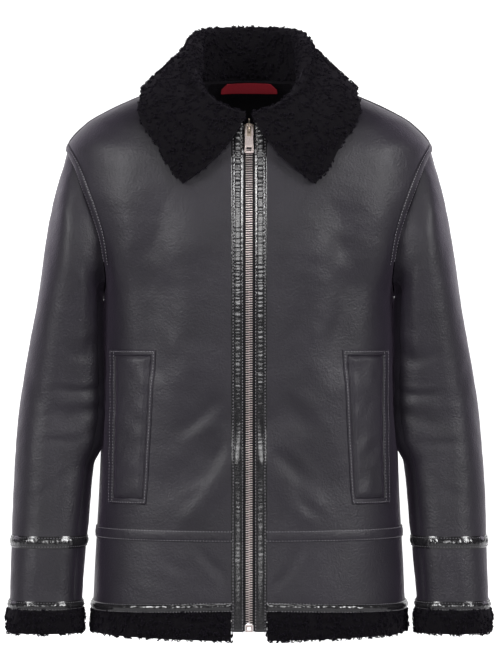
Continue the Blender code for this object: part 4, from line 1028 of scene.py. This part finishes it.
def toothShape(sign):   # one tooth: a leg that grips the tape and a rounded head past the middle
    work = bmesh.new()
    outline = ((-0.0005, 0.30), (-0.0001, 0.48), (0.0008, 0.50), (0.0016, 0.42), (0.0032, 0.50), (0.0041, 0.42))
    profile = [(x, h) for x, h in outline] + [(x, -h) for x, h in reversed(outline)]
    half = zipWork["toothDeep"] / 2
    loops = []
    for depth, shrink in ((-half, 0.78), (-half * 0.5, 1.0), (half * 0.5, 1.0), (half, 0.72)):
        loops.append([work.verts.new((h * zipWork["toothWide"] * shrink * 1.2, -sign * x, depth))
                      for x, h in profile])
    for low, high in zip(loops, loops[1:]):
        for k in range(len(profile)):
            j = (k + 1) % len(profile)
            work.faces.new((low[k], low[j], high[j], high[k]))
    work.faces.new(loops[0][::-1])
    work.faces.new(loops[-1])
    bmesh.ops.recalc_face_normals(work, faces=work.faces)
    mesh = bpy.data.meshes.new("tooth_shape")
    work.to_mesh(mesh)
    work.free()
    mesh.shade_smooth()
    mesh.set_sharp_from_angle(angle=math.radians(38))
    shape = bpy.data.objects.new("tooth_shape", mesh)
    bpy.context.scene.collection.objects.link(shape)
    return shape


def pathObject(name, paths):   # polylines with the surface's normal kept at each point
    points, edges, normals = [], [], []
    for place, normal, closed in paths:
        start = len(points)
        points += place.tolist()
        normals += normal.tolist()
        edges += [(start + k, start + k + 1) for k in range(len(place) - 1)]
        if closed:
            edges.append((start + len(place) - 1, start))
    mesh = bpy.data.meshes.new(name)
    mesh.from_pydata(points, edges, [])
    face = mesh.attributes.new("face", "FLOAT_VECTOR", "POINT")
    face.data.foreach_set("vector", np.asarray(normals, dtype=np.float32).ravel())
    holder = bpy.data.objects.new(name, mesh)
    bpy.context.scene.collection.objects.link(holder)
    return holder


def treeSockets(tree, sizes):
    tree.interface.new_socket("Geometry", in_out="INPUT", socket_type="NodeSocketGeometry")
    for name in sizes:
        tree.interface.new_socket(name, in_out="INPUT", socket_type="NodeSocketFloat")
    tree.interface.new_socket("Geometry", in_out="OUTPUT", socket_type="NodeSocketGeometry")
    return tree.nodes.new("NodeGroupInput"), tree.nodes.new("NodeGroupOutput")


def growFrom(holder, tree, sizes, name, body="jacket"):
    # Sets the tree's inputs by their identifiers, evaluates it once and keeps the plain mesh
    step = holder.modifiers.new("grow", "NODES")
    step.node_group = tree
    for item in tree.interface.items_tree:
        if item.item_type == "SOCKET" and item.in_out == "INPUT" and item.name in sizes:
            step[item.identifier] = float(sizes[item.name])
    graph = bpy.context.evaluated_depsgraph_get()
    graph.update()
    mesh = bpy.data.meshes.new_from_object(holder.evaluated_get(graph), depsgraph=graph)
    bpy.data.objects.remove(holder)
    mesh.name = name
    piece = bpy.data.objects.new(name, mesh)
    bpy.context.scene.collection.objects.link(piece)
    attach(piece, body)
    return piece


def wire(tree, source, output, target, place):
    tree.links.new(source.outputs[output], target.inputs[place])


def pathStart(tree, given):
    # Mesh edges become curves, cut to the pitch, with their direction and the surface's normal read
    toCurve = tree.nodes.new("GeometryNodeMeshToCurve")
    cut = tree.nodes.new("GeometryNodeResampleCurve")
    cut.mode = "LENGTH"
    tangent = tree.nodes.new("GeometryNodeInputTangent")
    face = tree.nodes.new("GeometryNodeInputNamedAttribute")
    face.data_type = "FLOAT_VECTOR"
    face.inputs["Name"].default_value = "face"
    turn = tree.nodes.new("FunctionNodeAxesToRotation")
    turn.primary_axis = "X"
    turn.secondary_axis = "Z"
    wire(tree, given, "Geometry", toCurve, "Mesh")
    wire(tree, toCurve, "Curve", cut, "Curve")
    wire(tree, given, "Pitch", cut, "Length")
    wire(tree, tangent, "Tangent", turn, "Primary Axis")
    tree.links.new([s for s in face.outputs if s.enabled][0], turn.inputs["Secondary Axis"])
    return cut, turn


def stitchTree(look):
    tree = bpy.data.node_groups.new("stitches_" + look.name, "GeometryNodeTree")
    given, made = treeSockets(tree, ("Pitch", "Length", "Thickness"))
    cut, turn = pathStart(tree, given)
    bead = tree.nodes.new("GeometryNodeMeshIcoSphere")
    bead.inputs["Subdivisions"].default_value = 1
    bead.inputs["Radius"].default_value = 0.5
    size = tree.nodes.new("ShaderNodeCombineXYZ")
    wire(tree, given, "Length", size, "X")
    wire(tree, given, "Thickness", size, "Y")
    wire(tree, given, "Thickness", size, "Z")
    place = tree.nodes.new("GeometryNodeInstanceOnPoints")
    wire(tree, cut, "Curve", place, "Points")
    wire(tree, bead, "Mesh", place, "Instance")
    wire(tree, turn, "Rotation", place, "Rotation")
    wire(tree, size, "Vector", place, "Scale")
    finishTree(tree, place, "Instances", made, look)
    return tree


def finishTree(tree, source, output, made, look, smoothed=True):
    real = tree.nodes.new("GeometryNodeRealizeInstances")
    smooth = tree.nodes.new("GeometryNodeSetShadeSmooth")
    smooth.mute = not smoothed
    paint = tree.nodes.new("GeometryNodeSetMaterial")
    paint.inputs["Material"].default_value = look
    wire(tree, source, output, real, "Geometry")
    wire(tree, real, "Geometry", smooth, "Geometry")
    wire(tree, smooth, "Geometry", paint, "Geometry")
    wire(tree, paint, "Geometry", made, "Geometry")


def teethTree(shape, look):   # one row of teeth along its path, each on its own pitch
    tree = bpy.data.node_groups.new("zip_teeth", "GeometryNodeTree")
    given, made = treeSockets(tree, ("Pitch", "Size"))
    cut, turn = pathStart(tree, given)
    info = tree.nodes.new("GeometryNodeObjectInfo")
    info.inputs["Object"].default_value = shape
    info.inputs["As Instance"].default_value = True
    place = tree.nodes.new("GeometryNodeInstanceOnPoints")
    wire(tree, cut, "Curve", place, "Points")
    wire(tree, info, "Geometry", place, "Instance")
    wire(tree, turn, "Rotation", place, "Rotation")
    size = tree.nodes.new("ShaderNodeCombineXYZ")
    for axis in "XYZ":
        wire(tree, given, "Size", size, axis)
    wire(tree, size, "Vector", place, "Scale")
    finishTree(tree, place, "Instances", made, look, False)
    return tree


def zipTeeth():
    for side, sign in (("left", 1), ("right", -1)):
        start = boxTop + 0.0016 + (zipWork["pitch"] / 2 if sign < 0 else 0.0)
        place, normal = zipPath(start, zipWork["sliderAt"] - 0.004, 260, 0.0002)
        shape = toothShape(sign)
        holder = pathObject("teeth_path", [(place, normal, False)])
        teeth = growFrom(holder, teethTree(shape, zipMetal), {"Pitch": zipWork["pitch"], "Size": 1.0},
                         "zip_teeth_" + side)
        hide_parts("zip_chain")
        bpy.data.objects.remove(shape)


def frontFrame(height):   # X to the side, Y into the cloth, Z up along the zip
    t = float(levelOfHeight(height, 0.0))
    place, normal = Vector(bodyPlace(0.0, t)), Vector(bodyNormal(0.0, t))
    side = Vector((1.0, 0.0, 0.0))
    return Matrix.Translation(place) @ Matrix((side, -normal, side.cross(-normal))).transposed().to_4x4()


def plate(outline, holes, low, high, bevel):
    # A flat part with rounded edges: outline and holes in X and Z, from low to high in Y
    curve = bpy.data.curves.new("plate", "CURVE")
    curve.dimensions = "2D"
    curve.fill_mode = "BOTH"
    curve.extrude = (high - low) / 2 - bevel
    curve.bevel_depth = bevel
    curve.bevel_resolution = 2
    curve.offset = -bevel
    for loop in [outline] + holes:
        spline = curve.splines.new("POLY")
        spline.points.add(len(loop) - 1)
        for point, (x, y) in zip(spline.points, loop):
            point.co = (x, y, 0.0, 1.0)
        spline.use_cyclic_u = True
    holder = bpy.data.objects.new("plate", curve)
    bpy.context.scene.collection.objects.link(holder)
    graph = bpy.context.evaluated_depsgraph_get()
    mesh = bpy.data.meshes.new_from_object(holder.evaluated_get(graph), depsgraph=graph)
    bpy.data.objects.remove(holder)
    stand = Matrix.Translation((0.0, (low + high) / 2, 0.0)) @ Matrix.Rotation(math.pi / 2, 4, "X")
    mesh.transform(stand)
    return mesh


def roundBox(x, z, halfWide, halfHigh, radius, count=6):
    loop = []
    for k, (a, b) in enumerate(((1, 1), (-1, 1), (-1, -1), (1, -1))):
        for step in range(count + 1):
            turn = math.pi / 2 * (k + step / count)
            loop.append((x + a * (halfWide - radius) + radius * math.cos(turn),
                         z + b * (halfHigh - radius) + radius * math.sin(turn)))
    return loop


def joined(name, meshes, place, look, body, nodes):
    work = bmesh.new()
    for mesh in meshes:
        work.from_mesh(mesh)
    bmesh.ops.remove_doubles(work, verts=work.verts, dist=0.00001)
    bmesh.ops.recalc_face_normals(work, faces=work.faces)
    mesh = bpy.data.meshes.new(name)
    work.to_mesh(mesh)
    work.free()
    mesh.transform(place)
    mesh.materials.clear()
    mesh.materials.append(look)
    mesh.shade_smooth()
    mesh.set_sharp_from_angle(angle=math.radians(42))
    piece = bpy.data.objects.new(name, mesh)
    bpy.context.scene.collection.objects.link(piece)
    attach(piece, body)
    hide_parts(*nodes)
    return piece


sliderWork = {"half": 0.0060, "waist": 0.0047, "height": 0.0180, "face": 0.0036, "back": 0.0044,
              "bridgeHalf": 0.0016, "bridgeOut": 0.0085, "wall": 0.0016}


def zipSlider():
    s = sliderWork
    half = s["height"] / 2
    shield = [(s["waist"], -half), (s["half"], 0.001), (s["half"] * 0.97, half * 0.55), (0.0036, half * 0.93),
              (0.0012, half), (-0.0012, half), (-0.0036, half * 0.93), (-s["half"] * 0.97, half * 0.55),
              (-s["half"], 0.001), (-s["waist"], -half), (-0.0038, -half - 0.0003), (0.0038, -half - 0.0003)]
    front = plate(shield, [], -s["face"], -s["face"] + s["wall"] + 0.0004, 0.0005)
    back = plate(shield, [], s["back"] - s["wall"], s["back"], 0.0004)
    post = plate(roundBox(0.0, half * 0.55, 0.0017, 0.0026, 0.0008), [], -s["face"] + s["wall"], s["back"] - 0.0006, 0.0002)
    rails = [plate(roundBox(x, 0.0008, 0.0007, half * 0.72, 0.0003), [], -s["face"] + 0.0012, -0.0004, 0.0002)
             for x in (-0.0050, 0.0050)]
    curve = bpy.data.curves.new("bridge", "CURVE")   # the arch that carries the pull
    curve.dimensions = "3D"
    curve.bevel_depth = 0.00095
    curve.bevel_resolution = 3
    curve.use_fill_caps = True
    spline = curve.splines.new("POLY")
    arch = [(-0.0030, -0.0040), (-0.0058, -0.0034), (-0.0074, -0.0010), (-0.0078, 0.0020), (-0.0074, 0.0052),
            (-0.0064, 0.0078), (-0.0050, 0.0100), (-0.0042, 0.0120), (-0.0040, 0.0146)]
    spline.points.add(len(arch) - 1)
    for point, (y, z) in zip(spline.points, arch):
        point.co = (0.0, y, z, 1.0)
    holder = bpy.data.objects.new("bridge", curve)
    bpy.context.scene.collection.objects.link(holder)
    graph = bpy.context.evaluated_depsgraph_get()
    bridge = bpy.data.meshes.new_from_object(holder.evaluated_get(graph), depsgraph=graph)
    bpy.data.objects.remove(holder)
    joined("slider_body", [front, back, post, bridge] + rails, frontFrame(zipWork["sliderAt"]), sliderMetal,
           "jacket", ["zip_slider"])


pullWork = {"half": 0.0055, "waist": 0.0049, "length": 0.0360, "wall": 0.0016, "pivotY": -0.0052, "pivotZ": 0.0047}


def zipPull():
    p = pullWork
    top, bottom = p["wall"] / 2, p["wall"] / 2 - p["length"]
    right = [(0.0026, top), (0.0044, top - 0.0022), (p["half"] * 0.93, top - 0.0065), (p["half"] * 0.86, top - 0.0110),
             (p["waist"], top - 0.0150), (p["half"] * 0.92, bottom + 0.0120), (p["half"], bottom + 0.0020),
             (p["half"] - 0.0006, bottom + 0.0006), (p["half"] - 0.0018, bottom)]
    outline = right[::-1] + [(-x, z) for x, z in right]
    slotHole = roundBox(0.0, -0.0072, 0.0029, 0.0066, 0.0012)
    lowHole = roundBox(0.0, bottom + 0.0052, 0.0032, 0.0024, 0.0008)
    tab = plate(outline, [slotHole[::-1], lowHole[::-1]], -p["wall"] / 2, p["wall"] / 2, 0.00035)
    pivot = Matrix.Translation((0.0, p["pivotY"], p["pivotZ"]))
    joined("pull_plate", [tab], frontFrame(zipWork["sliderAt"]) @ pivot, zipMetal, "pull_tab",
           ["zip_pull"])


def zipBox():
    frameHere = frontFrame((boxBottom + boxTop) / 2)
    shape = plate(roundBox(0.0, 0.0, zipWork["boxHalf"], (boxTop - boxBottom) / 2, 0.0010), [roundBox(0.0, -0.0002, 0.0022, 0.0020, 0.0006)[::-1]],
                  -0.0020, 0.0028, 0.0004)
    joined("zip_stop_box", [shape], frameHere, zipMetal, "jacket", ["zip_box"])


zipTape()
zipTeeth()
zipSlider()
zipPull()
zipBox()
print("zip made")


# Woven label inside the back of the neck, left bare

labelWork = {"half": 0.0345, "topHalf": 0.0275, "top": 0.0015, "bottom": 0.0235, "wall": 0.0009}


def neckLabel():
    t = np.linspace(neckAt - labelWork["bottom"], neckAt - labelWork["top"], 12)
    rise = np.linspace(0, 1, 12)
    chamfer = np.clip((rise - 0.45) / 0.55, 0, 1)
    half = labelWork["half"] + (labelWork["topHalf"] - labelWork["half"]) * chamfer
    angle = math.pi + (half / (bodyRead["toBack"](t) - 0.0055))[:, None] * np.linspace(-1, 1, 60)[None, :]
    place, normal = bodyLine(angle, np.broadcast_to(t[:, None], angle.shape))
    inward = place - normal * (0.0063 + 0.0003 * wander(place, 0.03, 71))[..., None]
    piece = shell("label_cloth", inward, inward - normal * labelWork["wall"],
                  (wovenLook("label_weave", (0.32, 0.016, 0.028), (0.62, 0.034, 0.054), 420.0, 0.62),))
    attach(piece, "jacket")
    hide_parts("neck_label")


neckLabel()


# Sewing thread: every row is grown along the paths kept while the pieces were made

threadLook = newLook("thread_grey", (0.20, 0.19, 0.21), 0.5, {"Sheen Weight": 0.1})
threadDark = newLook("thread_dark", (0.110, 0.102, 0.116), 0.45, {"Sheen Weight": 0.1})
stitchSizes = {"Pitch": 0.0037, "Length": 0.0023, "Thickness": 0.00095}


def sew():
    for name, look in (("grey", threadLook), ("dark", threadDark)):
        tree, nodes, links, shader = nodesOf(look)
        place = nodes.new("ShaderNodeTexCoord").outputs["Object"]
        twist = addNode(nodes, "ShaderNodeTexWave", {"bands_direction": "DIAGONAL"}, Scale=900.0)
        links.new(place, twist.inputs["Vector"])
        addBumps(look, ((twist.outputs["Fac"], 0.4, 0.0001),))
        if stitchPaths[name]:
            holder = pathObject("thread_path", stitchPaths[name])
            growFrom(holder, stitchTree(look), stitchSizes, "stitches_" + name)


sew()
print("sewing done")


# Shearling: a lumpy woolly base, and small curls grown all over it

curlWork = {"radius": 0.00150, "rise": 0.0030, "turns": 1.25, "thick": 0.00092, "sides": 3, "rings": 7}


def curlShape():   # one curl: a short thick lock that winds up and narrows to its tip
    c = curlWork
    work = bmesh.new()
    loops = []
    for k in range(c["rings"]):
        share = k / (c["rings"] - 1)
        turn = share * c["turns"] * 2 * math.pi
        wide = c["radius"] * (0.45 + 0.75 * math.sin(math.pi * min(share * 1.15, 1.0)))
        middle = Vector((wide * math.cos(turn), wide * math.sin(turn), -0.0007 + c["rise"] * share ** 0.85))
        out = Vector((math.cos(turn), math.sin(turn), 0.0))
        thick = c["thick"] * (1.0 - 0.55 * share ** 2)
        loop = []
        for j in range(c["sides"]):
            a = 2 * math.pi * j / c["sides"]
            loop.append(work.verts.new(middle + out * thick * math.cos(a) + Vector((0, 0, 1)) * thick * math.sin(a)))
        loops.append(loop)
    for low, high in zip(loops, loops[1:]):
        for j in range(c["sides"]):
            i = (j + 1) % c["sides"]
            work.faces.new((low[j], low[i], high[i], high[j]))
    work.faces.new(loops[0][::-1])
    work.faces.new(loops[-1])
    bmesh.ops.recalc_face_normals(work, faces=work.faces)
    mesh = bpy.data.meshes.new("curl_shape")
    work.to_mesh(mesh)
    work.free()
    mesh.shade_smooth()
    shape = bpy.data.objects.new("curl_shape", mesh)
    bpy.context.scene.collection.objects.link(shape)
    return shape


def curlTree(shape, look):
    tree = bpy.data.node_groups.new("curls", "GeometryNodeTree")
    given, made = treeSockets(tree, ("Density", "Curl Size", "Lean", "Seed"))
    pile = tree.nodes.new("GeometryNodeInputNamedAttribute")
    pile.data_type = "FLOAT"
    pile.inputs["Name"].default_value = "pile"
    thin = tree.nodes.new("ShaderNodeMath")
    thin.operation = "MULTIPLY"
    wire(tree, given, "Density", thin, 0)
    tree.links.new([s for s in pile.outputs if s.enabled][0], thin.inputs[1])
    strew = tree.nodes.new("GeometryNodeDistributePointsOnFaces")
    strew.distribute_method = "RANDOM"
    wire(tree, given, "Geometry", strew, "Mesh")
    tree.links.new(thin.outputs[0], strew.inputs["Density"])
    wire(tree, given, "Seed", strew, "Seed")
    info = tree.nodes.new("GeometryNodeObjectInfo")
    info.inputs["Object"].default_value = shape
    info.inputs["As Instance"].default_value = True
    spin = tree.nodes.new("FunctionNodeRandomValue")
    spin.data_type = "FLOAT_VECTOR"
    spin.inputs[0].default_value = (-1.0, -1.0, -6.0)
    spin.inputs[1].default_value = (1.0, 1.0, 6.0)
    scale = tree.nodes.new("ShaderNodeVectorMath")
    scale.operation = "MULTIPLY"
    lean = tree.nodes.new("ShaderNodeCombineXYZ")
    wire(tree, given, "Lean", lean, "X")
    wire(tree, given, "Lean", lean, "Y")
    lean.inputs["Z"].default_value = 1.0
    tree.links.new(spin.outputs["Value"], scale.inputs[0])
    wire(tree, lean, "Vector", scale, 1)
    turn = tree.nodes.new("FunctionNodeEulerToRotation")
    tree.links.new(scale.outputs["Vector"], turn.inputs["Euler"])
    tilt = tree.nodes.new("FunctionNodeRotateRotation")
    tilt.rotation_space = "LOCAL"
    wire(tree, strew, "Rotation", tilt, "Rotation")
    tree.links.new(turn.outputs["Rotation"], tilt.inputs["Rotate By"])
    vary = tree.nodes.new("FunctionNodeRandomValue")
    vary.data_type = "FLOAT"
    vary.inputs[2].default_value = 0.70
    vary.inputs[3].default_value = 1.30
    vary.inputs["Seed"].default_value = 7
    grow = tree.nodes.new("ShaderNodeMath")
    grow.operation = "MULTIPLY"
    wire(tree, given, "Curl Size", grow, 0)
    tree.links.new(vary.outputs[1], grow.inputs[1])
    place = tree.nodes.new("GeometryNodeInstanceOnPoints")
    wire(tree, strew, "Points", place, "Points")
    wire(tree, info, "Geometry", place, "Instance")
    wire(tree, tilt, "Rotation", place, "Rotation")
    tree.links.new(grow.outputs[0], place.inputs["Scale"])
    finishTree(tree, place, "Instances", made, look)
    return tree


def setPile(piece, count, inside):   # how much wool grows at each point of the outer and the inner side
    total = len(piece.data.vertices)
    values = np.full(total, inside, dtype=np.float32)
    values[:count] = 1.0
    piece.data.attributes.new("pile", "FLOAT", "POINT").data.foreach_set("value", values)


def growCurls(piece, name, sizes):
    holder = bpy.data.objects.new("pile_base", piece.data.copy())
    bpy.context.scene.collection.objects.link(holder)
    shape = curlShape()
    curls = growFrom(holder, curlTree(shape, curlWool), sizes, name)
    bpy.data.objects.remove(shape)
    print(name, len(curls.data.polygons))
    return curls


def lumpy(place, normal, size, height, seed):   # rounded tufts with dark valleys between them
    return place + normal * (height * (0.25 - np.abs(wander(place, size, seed))
                                       + 0.5 * wander(place, size * 0.5, seed + 1)))[..., None]


collarWork = {"along": 156, "across": 48, "bend": 0.0125, "wall": 0.0105, "tipWall": 0.0080}


def collarPath(row):   # from the neck seam over the crest to the free edge
    around = math.radians(row["angle"])
    out = np.array((math.sin(around), -math.cos(around), 0.0))
    up = np.array((0.0, 0.0, 1.0))
    seam = bodyPlace(around, neckAt) + up * 0.0008 + out * 0.001
    crest = seam + out * row["crestOut"] + up * row["crestUp"]
    bend = min(collarWork["bend"], 0.45 * row["crestUp"] + 0.002)
    thick = collarWork["tipWall"] + (collarWork["wall"] - collarWork["tipWall"]) * min(1.0, row["crestUp"] / 0.04)
    edgeAngle = math.radians(row["edgeAngle"])
    down = float(levelOfHeight(row["edgeHeight"], edgeAngle))
    edge = bodyPlace(edgeAngle, down) + bodyNormal(edgeAngle, down) * (thick + 0.0012)
    innerCrest = crest - out * bend - up * bend
    outerCrest = crest + out * bend - up * bend
    if row["crestUp"] < 2.4 * bend:
        innerCrest = seam + (crest - seam) * 0.6 - out * bend * 0.3
    path = [seam, (seam + innerCrest) / 2, innerCrest]
    path += [crest - out * bend * 0.62 - up * bend * 0.25, crest]
    path += [crest + out * bend * 0.62 - up * bend * 0.25, outerCrest]
    lift = unit(np.cross(edge - outerCrest, np.cross(out, up)))
    if np.dot(lift, out + up) < 0:
        lift = -lift
    for share in (0.3, 0.6, 0.82):
        rise = math.sin(math.pi * share)
        point = outerCrest + (edge - outerCrest) * share + lift * row["belly"] * rise
        path.append(point + np.array((-0.77, 0.0, -0.64)) * row["sweep"] * rise)
    path.append(edge)
    walls = np.array((0.75, 0.9, 0.8, 0, 0, 0, 0.8, 0.95, 1.0, 1.0, 0.9)) * thick
    walls[3:6] = bend * 0.72
    walls[2], walls[6] = min(walls[2], bend), min(walls[6], bend)
    return np.array(path), walls


def refined(values, count):   # smooth curve through the rows of a grid, along its first axis
    knots = np.arange(len(values), dtype=float)
    where = np.linspace(0, len(values) - 1, count)
    k = np.clip(where.astype(int), 0, len(values) - 2)
    part = (where - k).reshape((-1,) + (1,) * (values.ndim - 1))
    slopes = np.gradient(values, knots, axis=0)
    a, b = values[k], values[k + 1]
    return (a * (1 + 2 * part) * (1 - part) ** 2 + slopes[k] * part * (1 - part) ** 2
            + b * part ** 2 * (3 - 2 * part) + slopes[k + 1] * part ** 2 * (part - 1))


def collarWool():
    knots = np.arange(len(collarStations), dtype=float)
    read = {name: smoothTable(knots, column(collarStations, collarColumns, name)) for name in collarColumns}
    rows = [collarPath({name: float(read[name](stop)) for name in collarColumns})
            for stop in np.linspace(0, len(collarStations) - 1, 29)]
    half = np.array([row[0] for row in rows])
    thick = np.array([row[1] for row in rows])
    whole = np.concatenate((half[:0:-1] * np.array((-1.0, 1.0, 1.0)), half))
    thick = np.concatenate((thick[:0:-1], thick))
    whole = refined(whole, collarWork["along"]).transpose(1, 0, 2)
    thick = refined(thick, collarWork["along"]).T
    whole, thick = refined(whole, collarWork["across"]), refined(thick, collarWork["across"])
    normal = gridNormal(whole)
    normal = normal * np.sign(normal[len(normal) // 3, collarWork["along"] // 2, 2])
    rim = np.minimum(np.linspace(0, 1, whole.shape[1]), np.linspace(1, 0, whole.shape[1])) * whole.shape[1]
    fade = np.clip(rim / 4, 0.3, 1)[None, :]
    outer = lumpy(whole, normal * fade[..., None], 0.011, 0.0009, 81)
    piece = shell("collar_wool", outer, whole - normal * thick[..., None], (blackWool, plainLeather))
    setPile(piece, whole.shape[0] * whole.shape[1], 0.0)
    curls = growCurls(piece, "collar_curls", {"Density": 36000.0, "Curl Size": 1.0, "Lean": 0.85, "Seed": 3.0})
    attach(piece, "jacket")
    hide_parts("collar")


# The curls get their own colours: deep is painted shade for the hollows between curls, tip is the wool's own slightly
# purple colour
curlWool = woolLook("wool_curls", dict(woolFinish, deep=(0.0018, 0.0013, 0.0026), tip=(0.0078, 0.0059, 0.0104)))
collarWool()


def hemWool():
    t = np.linspace(level("furEnd"), hemAt - fit["seamGap"], 14)
    share = np.linspace(0, 1, 420)[None, :]
    edge = angleOfX(fit["facingEdge"] + 0.0005, t)[:, None]
    angle = edge + (2 * math.pi - 2 * edge) * share
    levels = np.broadcast_to(t[:, None], angle.shape)
    place, normal = bodyLine(angle, levels)
    rise = np.linspace(0, 1, 14)[:, None]
    proud = 0.0010 * np.clip(np.sin(math.pi * np.clip(0.18 + rise * 0.74, 0, 1)), 0.3, 1)
    outer = lumpy(place + normal * proud[..., None], normal, 0.010, 0.0009, 83)
    inner = lumpy(place - normal * (0.0060 + 0.0025 * np.sin(math.pi * rise))[..., None], -normal, 0.010, 0.0009, 84)
    piece = shell("hem_wool", outer, inner, (blackWool,))
    setPile(piece, len(piece.data.vertices), 1.0)
    curls = growCurls(piece, "hem_curls", {"Density": 36000.0, "Curl Size": 1.12, "Lean": 0.9, "Seed": 5.0})
    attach(piece, "jacket")
    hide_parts("hem_fur")


def cuffWool(side, sign):
    s = float(fit["cuffLow"][1]) + np.linspace(0.012, 1.0, 14)
    angle, levels = np.meshgrid(np.linspace(0, 2 * math.pi, 150, endpoint=False), s)
    place, normal = sleevePlace(angle, levels), sleeveNormal(angle, levels)
    rise = np.linspace(0, 1, 14)[:, None]
    proud = 0.0034 * np.clip(np.sin(math.pi * np.clip(0.12 + rise * 0.72, 0, 1)), 0.35, 1)
    outer = lumpy(place + normal * proud[..., None], normal, 0.010, 0.0009, 85)
    inner = lumpy(place - normal * (0.0052 + 0.0025 * np.sin(math.pi * rise))[..., None], -normal, 0.010, 0.0009, 86)
    flip = np.array((sign, 1.0, 1.0))
    piece = shell("cuff_wool_" + side, outer * flip, inner * flip, (blackWool,), ring=True)
    setPile(piece, len(piece.data.vertices), 1.0)
    curls = growCurls(piece, "cuff_curls_" + side, {"Density": 36000.0, "Curl Size": 1.08, "Lean": 0.9, "Seed": 6.0})
    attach(piece, "jacket")
    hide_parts("cuff_fur_" + side)


hemWool()
for side, sign in (("left", 1), ("right", -1)):
    cuffWool(side, sign)
print("wool grown")


# Pale floor that sweeps up behind the jacket, soft studio light and the camera

studio = {"floorZ": -0.735, "key": 27.0, "fill": 62.0, "rim": 7.0, "top": 11.0, "world": 0.045,
          "front": -1.4, "wallAt": 9.0, "half": 9.0, "bend": 1.5}


def backdrop():   # the wall behind glows softly, so that it reads as white paper
    work = bmesh.new()
    bend = studio["bend"]
    profile = [(studio["front"], studio["floorZ"]), (studio["wallAt"], studio["floorZ"])]
    profile += [(studio["wallAt"] + bend * math.sin(a), studio["floorZ"] + bend * (1 - math.cos(a)))
                for a in np.linspace(0.1, math.pi / 2, 12)]
    profile += [(studio["wallAt"] + bend, 8.0)]
    rows = [[work.verts.new((x, y, z)) for x in (-studio["half"], studio["half"])] for y, z in profile]
    for low, high in zip(rows, rows[1:]):
        work.faces.new((low[0], low[1], high[1], high[0]))
    mesh = bpy.data.meshes.new("studio_floor")
    work.to_mesh(mesh)
    work.free()
    mesh.shade_smooth()
    look = newLook("floor_white", (0.66, 0.66, 0.67), 0.9, {"Specular IOR Level": 0.1,
                   "Emission Color": (1.0, 1.0, 1.0, 1.0)})
    tree, nodes, links, shader = nodesOf(look)
    place = nodes.new("ShaderNodeTexCoord").outputs["Object"]
    split = nodes.new("ShaderNodeSeparateXYZ")
    links.new(place, split.inputs[0])
    # The floor's emission rises from nothing at the jacket's middle to full strength 0.34 m behind it. The floor behind
    # the jacket glows as well as the wall, as painted light that keeps it white
    rise = addNode(nodes, "ShaderNodeMapRange")
    for key, value in (("From Min", 0.0), ("From Max", 0.34), ("To Min", 0.0), ("To Max", 1.0)):
        rise.inputs[key].default_value = value
    links.new(split.outputs["Y"], rise.inputs["Value"])
    links.new(rise.outputs["Result"], shader.inputs["Emission Strength"])
    mesh.materials.append(look)
    floor = bpy.data.objects.new("studio_floor", mesh)
    bpy.context.scene.collection.objects.link(floor)


def softBox(name, place, target, size, power, tint=(1.0, 1.0, 1.0)):
    lamp = bpy.data.lights.new(name, "AREA")
    lamp.shape = "RECTANGLE"
    lamp.size, lamp.size_y = size
    lamp.energy = power
    lamp.color = tint
    holder = bpy.data.objects.new(name, lamp)
    bpy.context.scene.collection.objects.link(holder)
    holder.location = place
    way = Vector(target) - Vector(place)
    holder.rotation_euler = way.to_track_quat("-Z", "Y").to_euler()


def photoCamera():
    data = bpy.data.cameras.new("photo_camera")
    data.sensor_width = 36.0
    data.lens = 172.7
    data.clip_end = 50.0
    holder = bpy.data.objects.new("photo_camera", data)
    bpy.context.scene.collection.objects.link(holder)
    holder.location = (0.0011, -4.0, -0.292)
    holder.rotation_euler = (math.pi / 2, 0.0, 0.0)
    bpy.context.scene.camera = holder


def worldLight():
    world = bpy.data.worlds.new("studio_world")
    world.use_nodes = True
    world.node_tree.nodes["Background"].inputs["Color"].default_value = (1.0, 1.0, 1.0, 1.0)
    world.node_tree.nodes["Background"].inputs["Strength"].default_value = studio["world"]
    bpy.context.scene.world = world


backdrop()
softBox("key_high", (0.0, -3.4, 0.47), (0.0, 0.0, 0.20), (1.0, 1.30), studio["key"])
softBox("fill_left", (-2.3, -2.0, 0.85), (0.0, 0.0, -0.10), (0.8, 1.3), studio["fill"])
softBox("fill_right", (2.3, -2.0, 0.85), (0.0, 0.0, -0.10), (0.8, 1.3), studio["fill"])
softBox("top", (0.0, -0.9, 1.5), (0.0, 0.0, -0.1), (1.4, 0.6), studio["top"])
softBox("rim_left", (-1.6, 1.0, 0.6), (0.0, 0.0, -0.3), (0.8, 1.6), studio["rim"], (0.92, 0.84, 1.0))
softBox("rim_right", (1.6, 1.0, 0.6), (0.0, 0.0, -0.3), (0.8, 1.6), studio["rim"], (0.92, 0.84, 1.0))
worldLight()
photoCamera()
bpy.context.scene.view_settings.view_transform = "Standard"
print("jacket dressed")
